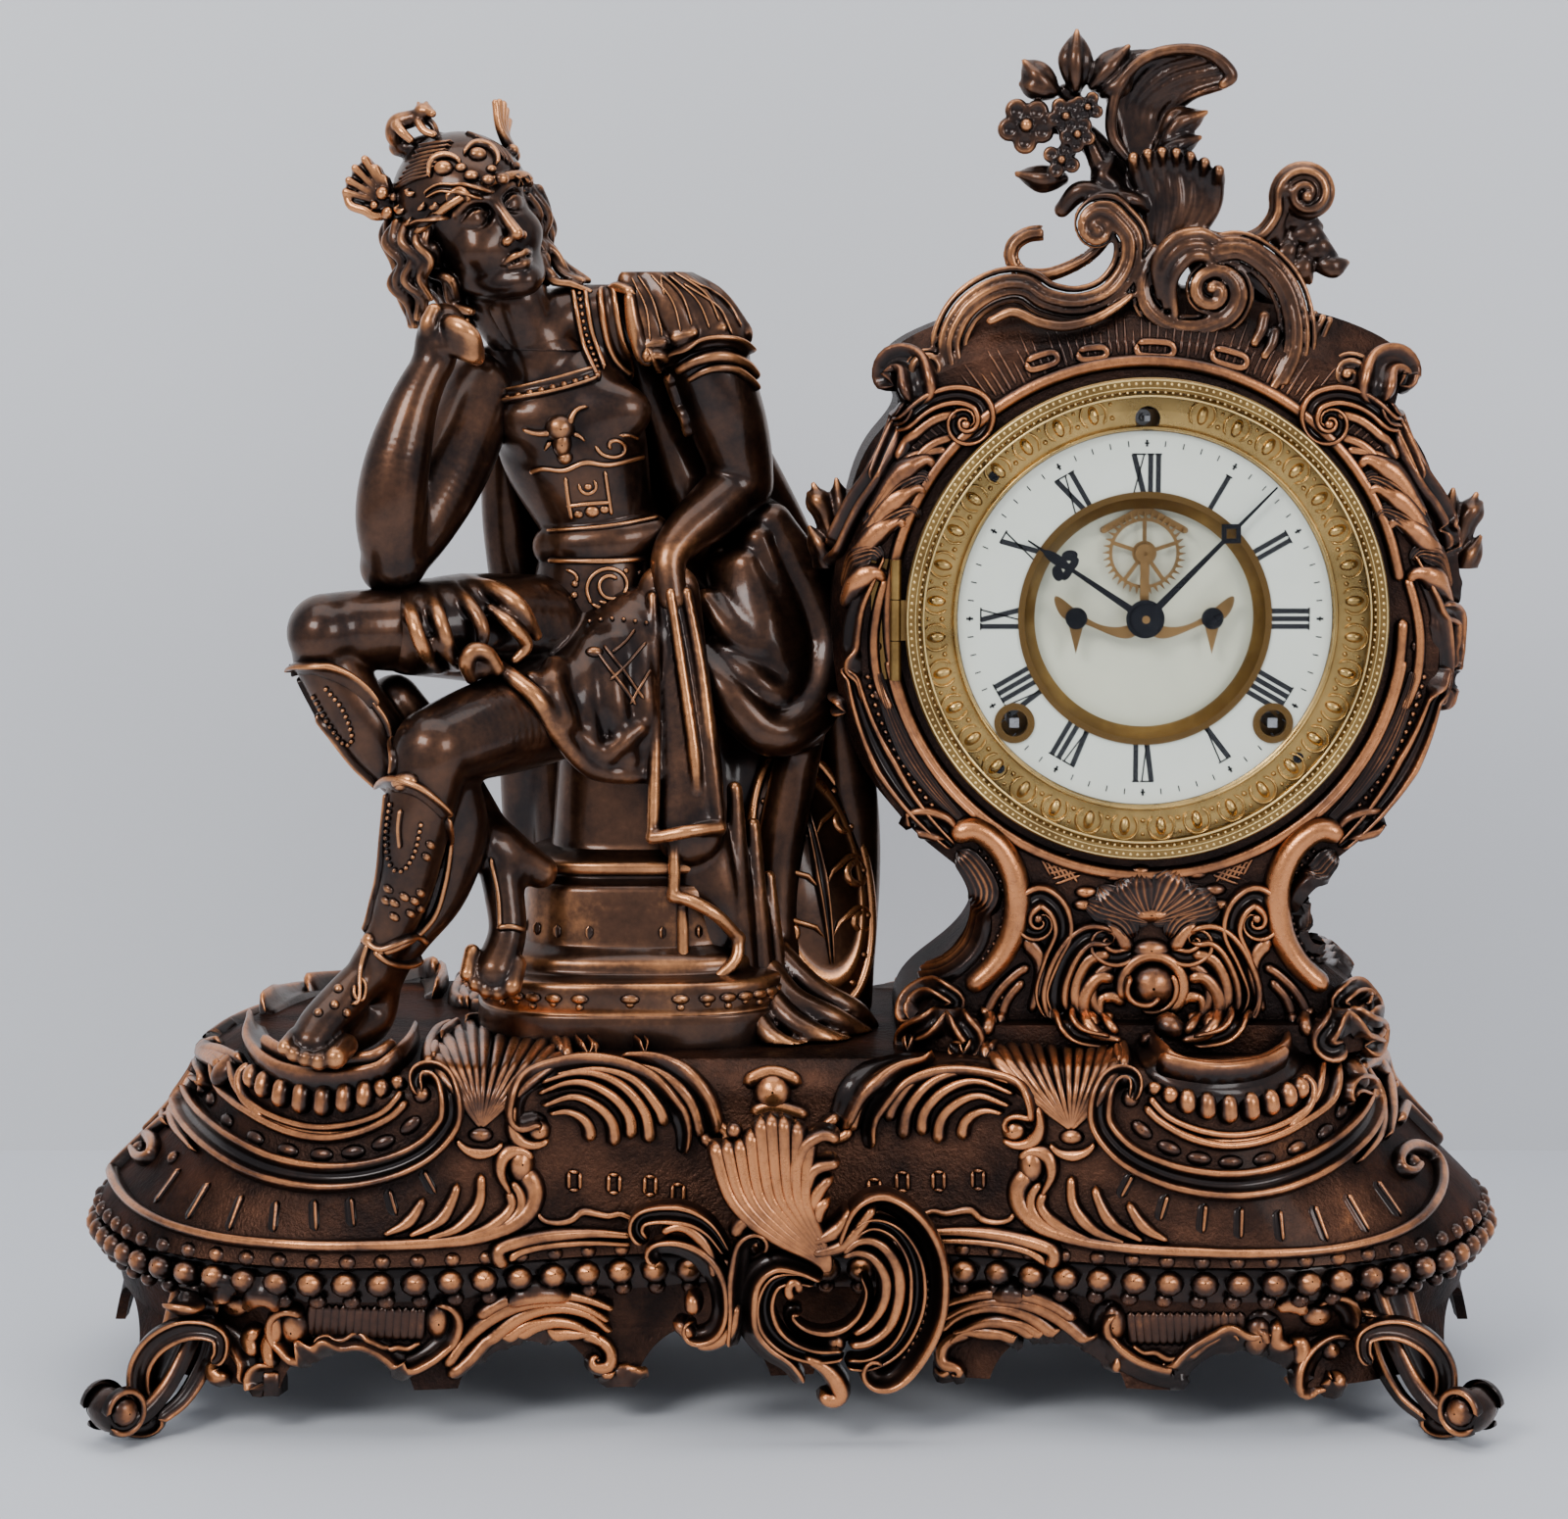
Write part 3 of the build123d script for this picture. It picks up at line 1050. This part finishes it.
def winding_arbor(place):
    """Winding arbor with its square, its ratchet and the hook for the spring."""
    x, z = place
    back = Y["inside_back"]
    shape = on_axis(WINDING_ARBOR_RADIUS, back - RUN_GAP, Y["front_plate"] - RUN_GAP, x, z)
    square = Rectangle(WINDING_SQUARE, WINDING_SQUARE)
    shape += face_on_dial(square, Y["front_plate"], Y["dial_front"] + RING_SHEET, x, z)
    shape += on_axis(PIVOT_RADIUS + PIN_FIT, Y["back_plate"], back - RUN_GAP, x, z)
    front = depth(GREAT_LEVEL) - RUN_GAP
    ratchet = tooth_ring(2 * SECOND_PINION, GREAT_MODULE, 0, WHEEL_ROOT_SHARE, 0, WHEEL_TOOTH_SHARES)
    shape += face_on_dial(ratchet, front, front - WHEEL_SHEET, x, z)
    return shape.solid()


def mainsprings():
    """Two open coil springs, each hooked round the bottom pillar."""
    springs = []
    pillar_x, pillar_z = PILLAR_PLACES[0]
    for side, (x, z) in zip((1, -1), winding_places()):
        line = []
        for i in range(SPRING_TURNS * SPRING_STEPS + 1):
            turns = i / SPRING_STEPS
            angle = 360 * turns
            line.append(polar(SPRING_INNER + SPRING_PITCH * turns, angle if side > 0 else 180 - angle))
        outer = SPRING_INNER + SPRING_PITCH * SPRING_TURNS
        line.append((side * outer, -SPRING_PITCH * 2))
        end_x = pillar_x + side * (PILLAR_RADIUS + RUN_GAP) - x
        end_z = pillar_z - z
        tail = [(side * outer * across, outer * up) for across, up in SPRING_TAIL_SHARES]
        line = line[:-1] + tail + [(end_x, end_z)]
        route = Polyline(*line)
        strip = trace(route, line_width=SPRING_STRIP)
        back = depth(SPRING_LEVEL) + SPRING_WIDTH
        springs.append(largest_of(face_on_dial(strip, back, depth(SPRING_LEVEL), x, z)))
    return Compound(springs)


def strike_second_wheel():
    turn = mesh_turn(STRIKE_GREAT, GREAT_TEETH, 0, STRIKE_SECOND, SECOND_PINION)
    shape = plate_arbor(STRIKE_SECOND)
    shape += pinion_on(STRIKE_SECOND, SECOND_PINION, GREAT_MODULE, turn, GREAT_LEVEL, GREAT_WIDTH)
    sketch = wheel_sketch(STRIKE_SECOND_TEETH, STRIKE_SECOND_MODULE, 0, HUB_RADIUS)
    shape += flat_wheel(sketch, STRIKE_SECOND, SECOND_LEVEL)
    return shape.solid()


def strike_third_wheel():
    turn = mesh_turn(STRIKE_SECOND, STRIKE_SECOND_TEETH, 0, THIRD, THIRD_PINION)
    shape = plate_arbor(THIRD)
    shape += pinion_on(THIRD, THIRD_PINION, STRIKE_SECOND_MODULE, turn, SECOND_LEVEL, WHEEL_SHEET)
    sketch = wheel_sketch(THIRD_TEETH, THIRD_MODULE, 0, HUB_RADIUS)
    shape += flat_wheel(sketch, THIRD, THIRD_LEVEL)
    return shape.solid()


def fly():
    turn = mesh_turn(THIRD, THIRD_TEETH, 0, FLY, FLY_PINION)
    pivot = FLY_PINION * THIRD_MODULE * PIVOT_SHARE
    shape = on_axis(pivot, Y["inside_back"] - RUN_GAP, Y["inside_front"] + RUN_GAP, *FLY)
    shape += on_axis(PIVOT_RADIUS, Y["back_plate"], Y["front_plate"], *FLY)
    shape += pinion_on(FLY, FLY_PINION, THIRD_MODULE, turn, THIRD_LEVEL, WHEEL_SHEET)
    vane = Rectangle(2 * FLY_RADIUS, FLY_SHEET)
    front = depth(CENTRE_LEVEL)
    shape += face_on_dial(vane, front + FLY_LENGTH, front, *FLY)
    return shape.solid()


def cannon_pinion():
    """Pinion and pipe that carry the minute hand on the centre arbor."""
    front = Y["minute_hand"] - HAND_SHEET
    back = Y["front_plate"] - RUN_GAP
    sketch = pinion_sketch(CANNON_TEETH, CANNON_MODULE, 0)
    shape = face_on_dial(sketch, back, back - PINION_LENGTH)
    shape += on_axis(CANNON_OUTER, back, front)
    return (shape - on_axis(ARBOR_RADIUS + PIN_FIT, 0, front - HAND_BOSS)).solid()


def minute_wheel():
    wheel_turn = mesh_turn(CENTRE, CANNON_TEETH, 0, MINUTE_ARBOR, MINUTE_TEETH)
    back = Y["front_plate"] - 2 * RUN_GAP
    middle = back - PINION_LENGTH + RUN_GAP
    sketch = tooth_ring(MINUTE_TEETH, CANNON_MODULE, wheel_turn, WHEEL_ROOT_SHARE, WHEEL_TIP_SHARE,
                        WHEEL_TOOTH_SHARES)
    shape = face_on_dial(sketch, back - RUN_GAP, back - RUN_GAP - WHEEL_SHEET, *MINUTE_ARBOR)
    sketch = pinion_sketch(MINUTE_PINION, MOTION_MODULE, 0)
    shape += face_on_dial(sketch, back - RUN_GAP - WHEEL_SHEET, middle - PINION_LENGTH, *MINUTE_ARBOR)
    bore = on_axis(PIVOT_RADIUS + PIN_FIT, 0, CASE_FRONT, *MINUTE_ARBOR)
    return (shape - bore).solid()


def hour_wheel():
    back = Y["front_plate"] - RUN_GAP - PINION_LENGTH - RUN_GAP
    turn = mesh_turn(MINUTE_ARBOR, MINUTE_PINION, 0, CENTRE, HOUR_TEETH)
    sketch = tooth_ring(HOUR_TEETH, MOTION_MODULE, turn, WHEEL_ROOT_SHARE, WHEEL_TIP_SHARE,
                        WHEEL_TOOTH_SHARES)
    shape = face_on_dial(sketch, back, back - WHEEL_SHEET)
    shape += on_axis(HOUR_PIPE_OUTER, back, Y["hour_hand"] - HAND_SHEET)
    return (shape - on_axis(HOUR_PIPE_INNER, 0, CASE_FRONT - BEZEL_DEPTH)).solid()


# Plates, pillars and escapement bridge


def plate_outline(with_lugs):
    height = PLATE_TOP - PLATE_BOTTOM
    middle = (PLATE_TOP + PLATE_BOTTOM) / 2
    sketch = Pos(0, middle) * RectangleRounded(2 * PLATE_HALF_WIDTH, height, PLATE_CORNER)
    tab = PLATE_TAB_TOP - PLATE_TOP + PLATE_CORNER
    sketch += Pos(0, PLATE_TAB_TOP - tab / 2) * Rectangle(PLATE_TAB_WIDTH, tab)
    if with_lugs:
        for angle in LUG_ANGLES:
            lug = SlotCenterToCenter(LUG_CIRCLE * LUG_LENGTH_SHARE, 2 * LUG_RADIUS)
            lug = Pos(LUG_CIRCLE * LUG_PLACE_SHARE, 0) * lug
            sketch += Rot(0, 0, angle) * lug
    return sketch & Circle(CASE_BORE - RUN_GAP)


def pierced(plate, holes, y_back, y_front):
    for (x, z), radius in holes:
        plate -= on_axis(radius, y_back + PLATE_SHEET, y_front - PLATE_SHEET, x, z)
    return plate


def pivot_holes():
    fine = PIVOT_RADIUS + PIN_FIT
    holes = [(place, fine) for place in (SECOND, FOURTH, STRIKE_SECOND, THIRD, FLY)]
    holes += [(place, PILLAR_STUD) for place in PILLAR_PLACES]
    holes += [(REGULATOR, ARBOR_RADIUS + PIN_FIT), (HAMMER, PIVOT_RADIUS + PIN_FIT),
              (ANCHOR, PIVOT_RADIUS + PIN_FIT)]
    return holes


def front_plate():
    back, front = Y["inside_front"], Y["front_plate"]
    plate = face_on_dial(plate_outline(True), back, front)
    holes = pivot_holes() + [(place, WINDING_ARBOR_RADIUS + PIN_FIT) for place in winding_places()]
    holes += [(CENTRE, ARBOR_RADIUS + PIN_FIT), (ESCAPE, ESCAPE_PIVOT + PIN_FIT)]
    plate = pierced(plate, holes, back, front)
    plate += on_axis(PIVOT_RADIUS, back, front - MOTION_GAP + RUN_GAP, *MINUTE_ARBOR)
    for angle in LUG_ANGLES:
        plate -= on_axis(PILLAR_STUD, back + RUN_GAP, front - RUN_GAP, *polar(LUG_CIRCLE, angle))
    return plate.solid()


def back_plate():
    back, front = Y["back_plate"], Y["inside_back"]
    plate = face_on_dial(plate_outline(False), back, front)
    holes = pivot_holes() + [(place, PIVOT_RADIUS + 2 * PIN_FIT) for place in winding_places()]
    holes += [(CENTRE, PIVOT_RADIUS + PIN_FIT), (ESCAPE, ESCAPE_PIVOT - PIN_FIT)]
    holes += [((0, SUSPENSION_HEIGHT), PILLAR_STUD)]
    return pierced(plate, holes, back, front).solid()


def plate_pillars():
    """Pillars with nuts between the plates, and posts that carry the movement on the case."""
    pieces = []
    for x, z in PILLAR_PLACES:
        post = on_axis(PILLAR_RADIUS, Y["inside_back"], Y["inside_front"], x, z)
        post += on_axis(PILLAR_STUD, Y["back_plate"] + NUT_HEIGHT, Y["front_plate"] - PLATE_SHEET, x, z)
        pieces.append(post.solid())
        nut = face_on_dial(RegularPolygon(NUT_RADIUS, 6) - Circle(PILLAR_STUD),
                           Y["back_plate"] + NUT_HEIGHT, Y["back_plate"], x, z)
        pieces.append(nut.solid())
    ledge_back = Y["ledge"] + DIAL_LEDGE
    for angle in LUG_ANGLES:
        x, z = polar(LUG_CIRCLE, angle)
        post = on_axis(LUG_RADIUS - PLATE_SHEET, Y["front_plate"], ledge_back, x, z)
        post += on_axis(PILLAR_STUD, Y["inside_front"], Y["front_plate"], x, z)
        pieces.append(post.solid())
    return Compound(pieces)


def escapement_bridge():
    """Front cock of the escape wheel: stem, hub, curved side arms and leaf drops."""
    back = Y["disc_front"] - BRIDGE_STAND
    half = BRIDGE_SPAN / 2
    stem = Pos(0, ESCAPE_HEIGHT / 2) * Rectangle(BRIDGE_STEM, ESCAPE_HEIGHT)
    sketch = Circle(BRIDGE_HUB) + stem + Pos(0, ESCAPE_HEIGHT) * Circle(BRIDGE_HUB * BRIDGE_TOP_SHARE)
    sag = BRIDGE_FINIAL * BRIDGE_SAG_SHARE
    for side in (-1, 1):
        arm = make_face(Spline((0, BRIDGE_ARM / 2), (side * half / 2, -sag + BRIDGE_ARM / 2),
                               (side * half, BRIDGE_ARM), (side * (half + BRIDGE_FINIAL), BRIDGE_FINIAL),
                               (side * (half + sag), 0), (side * half, -BRIDGE_ARM / 2),
                               (side * half / 2, -sag - BRIDGE_ARM / 2), (0, -BRIDGE_ARM / 2),
                               periodic=True))
        leaf = make_face(Polyline((side * half - BRIDGE_FOOT, 0), (side * half, -BRIDGE_LEAF),
                                  (side * half + BRIDGE_FOOT, 0), close=True))
        sketch = sketch + arm + leaf + Pos(side * half, 0) * Circle(BRIDGE_FOOT)
    shape = face_on_dial(sketch, back, back - BRIDGE_SHEET)
    for side in (-1, 1):
        shape += on_axis(BRIDGE_FOOT - RUN_GAP, Y["disc_front"], back, side * half)
        shape -= on_axis(SCREW_SHANK, 0, CASE_FRONT, side * half)
    pivot = ESCAPE_PIVOT - PIN_FIT
    shape -= on_axis(BRIDGE_BORE, 0, CASE_FRONT)
    return largest_of(shape - on_axis(pivot, 0, CASE_FRONT, *ESCAPE))


def anchor():
    """Anchor with two round pallets, its arbor, and the crutch behind the back plate."""
    back = Y["disc_front"] - ANCHOR_STAND
    front = back - ANCHOR_SHEET
    sketch = Circle(ANCHOR_HUB)
    pins = []
    for side in (-1, 1):
        x, z = polar(PALLET_CIRCLE, 90 - side * (90 - PALLET_ANGLE))
        z += ESCAPE_HEIGHT - ANCHOR_HEIGHT
        run = math.hypot(x, z)
        arm = Rot(0, 0, math.degrees(math.atan2(z, x))) * Pos(run / 2, 0) * SlotCenterToCenter(run, ANCHOR_ARM)
        sketch += arm
        pins.append(on_axis(PALLET_RADIUS, front, back - PALLET_LENGTH, x, z + ANCHOR_HEIGHT))
    shape = face_on_dial(sketch, back, front, 0, ANCHOR_HEIGHT)
    for pin in pins:
        shape += pin
    crutch_front = Y["back_plate"] + CRUTCH_STAND
    crutch_back = crutch_front + CRUTCH_SHEET
    shape += on_axis(PIVOT_RADIUS, crutch_back, front, *ANCHOR)
    rod_y = Y["back_plate"] + PENDULUM_STAND
    arm = Pos(0, -CRUTCH_LENGTH / 2) * Rectangle(CRUTCH_ARM, CRUTCH_LENGTH + CRUTCH_ARM)
    shape += face_on_dial(arm, crutch_back, crutch_front, *ANCHOR)
    low = CLOCK_Z + ANCHOR_HEIGHT - CRUTCH_LENGTH - CRUTCH_ARM / 2
    half = ROD_RADIUS + ROD_GAP
    for side in (-1, 1):
        near, far = sorted((side * half, side * (half + CRUTCH_SHEET)))
        shape += box_between((CLOCK_X + near, crutch_front, low),
                             (CLOCK_X + far, rod_y + CRUTCH_FORK / 2, low + CRUTCH_SHEET))
    shape += box_between((CLOCK_X - half - CRUTCH_SHEET, crutch_front, low),
                         (CLOCK_X + half + CRUTCH_SHEET, crutch_back, low + CRUTCH_SHEET))
    return shape.solid()


def regulator_arbor():
    square = Rectangle(WINDING_SQUARE - PLATE_SHEET, WINDING_SQUARE - PLATE_SHEET)
    shape = on_axis(ARBOR_RADIUS, Y["back_plate"] + PLATE_SHEET, Y["floor_back"], *REGULATOR)
    shape += face_on_dial(square, Y["floor_back"], Y["dial_front"] + RING_SHEET, *REGULATOR)
    shape += on_axis(ARBOR_RADIUS + PLATE_SHEET, Y["back_plate"] + 2 * PLATE_SHEET,
                     Y["back_plate"] + RUN_GAP, *REGULATOR)
    shape += on_axis(ARBOR_RADIUS + PLATE_SHEET, Y["front_plate"] - RUN_GAP,
                     Y["front_plate"] - PLATE_SHEET, *REGULATOR)
    return shape.solid()


# Pendulum, hammer and gong


def suspension_post():
    """Post on the back plate, and the spring strip that hangs from it."""
    back = Y["back_plate"] + PENDULUM_STAND
    post = on_axis(SUSPENSION_RADIUS, back + SUSPENSION_WIDTH, Y["back_plate"], 0, SUSPENSION_HEIGHT)
    post += on_axis(PILLAR_STUD, Y["back_plate"], Y["inside_back"], 0, SUSPENSION_HEIGHT)
    half = SUSPENSION_STRIP / 2
    post += box_between((CLOCK_X - half, back - SUSPENSION_WIDTH / 2, CLOCK_Z + ANCHOR_HEIGHT),
                        (CLOCK_X + half, back + SUSPENSION_WIDTH / 2, CLOCK_Z + SUSPENSION_HEIGHT))
    return post.solid()


def pendulum_rod():
    y = Y["back_plate"] + PENDULUM_STAND
    top = CLOCK_Z + ANCHOR_HEIGHT - RUN_GAP
    low = CLOCK_Z + ANCHOR_HEIGHT - PENDULUM_LENGTH - BOB_RADIUS - BOB_NUT
    rod = Pos(CLOCK_X, y, (top + low) / 2) * Cylinder(ROD_RADIUS, top - low)
    nut = Pos(CLOCK_X, y, low + BOB_NUT / 2) * Cylinder(BOB_NUT, BOB_NUT)
    return (rod + nut).solid()


def pendulum_bob():
    y = Y["back_plate"] + PENDULUM_STAND
    middle = CLOCK_Z + ANCHOR_HEIGHT - PENDULUM_LENGTH
    half = BOB_THICKNESS / 2
    bob = Pos(CLOCK_X, y, middle) * Rot(90, 0, 0) * Cylinder(BOB_RADIUS, BOB_THICKNESS)
    bob = chamfer(bob.edges().filter_by(GeomType.CIRCLE), half / 2)
    return (bob - Pos(CLOCK_X, y, middle) * Cylinder(ROD_RADIUS, 3 * BOB_RADIUS)).solid()


def hammer():
    """Strike hammer on its arbor, with its head beside the gong."""
    x, z = HAMMER
    gong_y = Y["back_plate"] + GONG_STAND
    shape = plate_arbor(HAMMER)
    shape += on_axis(PIVOT_RADIUS, gong_y + HAMMER_ARM, Y["inside_back"], x, z)
    top = CLOCK_Z + z
    arm = Pos(CLOCK_X + x, gong_y, top - HAMMER_REACH / 2) * Cylinder(HAMMER_ARM, HAMMER_REACH)
    head_x = CLOCK_X + x + HAMMER_HEAD_LENGTH / 4
    head = Pos(head_x, gong_y, top - HAMMER_REACH) * Rot(0, 90, 0) * Cylinder(HAMMER_HEAD, HAMMER_HEAD_LENGTH)
    return (shape + arm + head).solid()


def gong_route():
    """Flat spiral of half turns, wound inward from the block."""
    edges = []
    radius = GONG_OUTER
    middle = 0
    turn = 1
    for _ in range(GONG_HALF_TURNS):
        start = (middle + turn * radius, 0)
        end = (middle - turn * radius, 0)
        over = (middle, turn * radius)
        edges.append(ThreePointArc(start, over, end))
        radius -= GONG_PITCH / 2
        middle -= turn * GONG_PITCH / 2
        turn = -turn
    return edges


def gong_place():
    y = Y["back_plate"] + GONG_STAND
    plane = Plane(origin=(CLOCK_X, y, CLOCK_Z), x_dir=(1, 0, 0), z_dir=(0, -1, 0))
    return plane * Rot(0, 0, GONG_BLOCK_ANGLE)


def gong():
    """Wire gong: one spiral wire that ends in a stud on the wall of the case."""
    place = gong_place()
    route = Wire([place * edge for edge in gong_route()])
    start = route @ 0
    section = Plane(origin=start, z_dir=route % 0) * Circle(GONG_WIRE)
    coil = sweep(section, path=route)
    block = place * Pos((GONG_OUTER + CASE_BORE) / 2, 0, 0) * Box(
        CASE_BORE - GONG_OUTER, GONG_BLOCK / 2, GONG_BLOCK)
    block = block & on_axis(CASE_BORE, CASE_BACK, 0)
    return solids_of(coil + block)


# Fasteners under the base


def bolt_hole(x):
    return Pos(x, 0, BASE_TOP) * Cylinder(BOLT_RADIUS + BOLT_CLEARANCE, 2 * (BOLT_SINK + BOLT_CLEARANCE))


def bolt_places():
    plinth_x = FIGURE_X + PLINTH_X_SHARE * FIGURE_HEIGHT
    return [CLOCK_X - CASE_BOLT_SPACING / 2, CLOCK_X + CASE_BOLT_SPACING / 2,
            plinth_x - FIGURE_BOLT_SPACING / 2, plinth_x + FIGURE_BOLT_SPACING / 2]


def casting_bolts():
    """Threaded studs and nuts that hold the case and the figure from under the base."""
    pieces = []
    underside = BASE_TOP - BASE_WALL
    for x in bolt_places():
        low = underside - BOLT_NUT_HEIGHT - BOLT_TAIL
        high = BASE_TOP + BOLT_SINK
        stud = Pos(x, 0, (low + high) / 2) * Cylinder(BOLT_RADIUS, high - low)
        nut = Pos(x, 0, underside - BOLT_NUT_HEIGHT) * extrude(
            RegularPolygon(BOLT_NUT, 6) - Circle(BOLT_RADIUS), amount=BOLT_NUT_HEIGHT)
        pieces += [stud.solid(), nut.solid()]
    return Compound(pieces)


# Figure


def at(name):
    x, y, z = FIGURE_PLACE_SHARES[name]
    return Vector(FIGURE_X + x * FIGURE_HEIGHT, y * FIGURE_HEIGHT, BASE_TOP + z * FIGURE_HEIGHT)


def girth(name):
    return FIGURE_GIRTH_SHARES[name] * FIGURE_HEIGHT


def ball(place, radius):
    return Pos(*place) * Sphere(radius)


def limb(start, start_radius, end, end_radius):
    along = end - start
    cone = Solid.make_cone(start_radius, end_radius, along.length, Plane(start, z_dir=along))
    return ball(start, start_radius) + cone + ball(end, end_radius)


def limb_chain(names, girths):
    shape = None
    for (a, ra), (b, rb) in zip(list(zip(names, girths)), list(zip(names, girths))[1:]):
        piece = limb(at(a), girth(ra), at(b), girth(rb))
        shape = piece if shape is None else shape + piece
    return shape


def oval_loft(sections):
    faces = []
    for height, x, y, half_x, half_y in sections:
        origin = (FIGURE_X + x * FIGURE_HEIGHT, y * FIGURE_HEIGHT, BASE_TOP + height * FIGURE_HEIGHT)
        faces.append(Plane(origin) * Ellipse(half_x * FIGURE_HEIGHT, half_y * FIGURE_HEIGHT))
    return loft(faces)


def oval_ball(shares):
    return scale(Sphere(1), by=tuple(share * FIGURE_HEIGHT for share in shares))


def figure_plinth():
    rings = []
    for rise, half_x, half_y in PLINTH_SHARES:
        origin = (FIGURE_X + PLINTH_X_SHARE * FIGURE_HEIGHT, 0, BASE_TOP + rise * FIGURE_HEIGHT)
        wire = (Plane(origin) * Ellipse(half_x * FIGURE_HEIGHT, half_y * FIGURE_HEIGHT)).wire()
        rings.append(wire)
    shape = Solid.make_loft(rings, True)
    for x in bolt_places()[2:]:
        shape -= bolt_hole(x)
    return shape


def leg(side):
    shape = limb_chain([side + "_hip", side + "_knee", side + "_calf", side + "_ankle", side + "_heel"],
                       ["hip", "knee", "calf", "ankle", "heel"])
    return shape + limb(at(side + "_heel"), girth("heel"), at(side + "_toe"), girth("toe"))


def figure_parts():
    """The figure's castings, each cut to the ones before it so that they meet face to face."""
    floor = box_between((-OVERRUN, -OVERRUN, -OVERRUN), (OVERRUN, OVERRUN, BASE_TOP))
    parts = {"figure_plinth": figure_plinth()}
    raw = {
        "figure_torso": oval_loft(TORSO_SHARES),
        "leg_right": leg("right"),
        "leg_left": leg("left"),
        "arm_left": limb_chain(["left_shoulder", "left_elbow", "left_wrist", "left_hand"],
                               ["shoulder", "elbow", "wrist", "hand"]),
        "figure_head": Pos(*at("head")) * Rot(0, HEAD_LEAN, 0) * oval_ball(HEAD_SHARES)
        + limb(at("throat"), girth("neck") * THROAT_SHARE, at("neck"), girth("neck")),
        "helmet": Pos(*at("crown")) * Rot(0, HEAD_LEAN, 0) * Pos(0, 0, -HELMET_SHARES[2] * FIGURE_HEIGHT / 2)
        * (oval_ball(HELMET_SHARES) & Pos(0, 0, OVERRUN / 2) * Box(OVERRUN, OVERRUN, OVERRUN)),
        "arm_right": limb_chain(["right_shoulder", "right_elbow", "right_wrist", "right_hand"],
                                ["right_shoulder", "elbow", "wrist", "hand"]),
        "figure_skirt": oval_loft(SKIRT_SHARES),
        "figure_cloak": oval_loft(CLOAK_SHARES),
        "figure_shield": Pos(*at("shield")) * Rot(0, 0, SHIELD_TURN) * Rot(SHIELD_LEAN, 0, 0)
        * Rot(90, 0, 0) * oval_ball(SHIELD_SHARES)}
    for name in ("right_wing", "left_wing"):
        raw["helmet"] += Pos(*at(name)) * Rot(0, HEAD_LEAN * 2, 0) * oval_ball(WING_SHARES)
    for name, shape in raw.items():
        shape = shape - floor
        for other in parts.values():
            if shape.bounding_box().overlaps(other.bounding_box()):
                shape = shape - other
        parts[name] = largest_of(shape)
    return parts


def main():
    os.makedirs("parts", exist_ok=True)
    parts = {
        "base_casting": base_casting(), "bead_moulding": bead_moulding(), "apron_casting": apron_casting(),
        "feet_front": Compound([foot(-1, -1), foot(1, -1)]),
        "feet_back": Compound([foot(-1, 1), foot(1, 1)]),
        "base_cartouche": base_cartouche(), "casting_bolts": casting_bolts(),
        "clock_case": clock_case(), "case_crest": case_crest(), "case_side_leaves": case_side_leaves(),
        "rear_door": rear_door(), "hinge_fittings": hinge_fittings(),
        "bezel_ring": bezel_ring(), "bezel_glass": bezel_glass(),
        "dial_surround": dial_surround(), "dial_pan": dial_pan(), "chapter_ring": chapter_ring(),
        "inner_ring": inner_ring(), "centre_disc": centre_disc(), "winding_grommets": winding_grommets(),
        "dial_screws": dial_screws(), "hour_hand": hour_hand(), "minute_hand": minute_hand(),
        "front_plate": front_plate(), "back_plate": back_plate(), "plate_pillars": plate_pillars(),
        "escapement_bridge": escapement_bridge(), "escape_wheel": escape_wheel(), "anchor": anchor(),
        "time_winding_arbor": winding_arbor(TIME_GREAT), "strike_winding_arbor": winding_arbor(STRIKE_GREAT),
        "mainsprings": mainsprings(), "time_great_wheel": time_great_wheel(),
        "time_second_wheel": time_second_wheel(), "centre_wheel": centre_wheel(),
        "fourth_wheel": fourth_wheel(), "strike_great_wheel": strike_great_wheel(),
        "strike_second_wheel": strike_second_wheel(), "strike_third_wheel": strike_third_wheel(),
        "fly": fly(), "cannon_pinion": cannon_pinion(), "minute_wheel": minute_wheel(),
        "hour_wheel": hour_wheel(), "regulator_arbor": regulator_arbor(), "hammer": hammer(),
        "gong": gong(), "suspension_post": suspension_post(), "pendulum_rod": pendulum_rod(),
        "pendulum_bob": pendulum_bob()}
    parts.update(figure_parts())
    for name, shape in parts.items():
        export_step(shape, f"parts/{name}.step")


main()
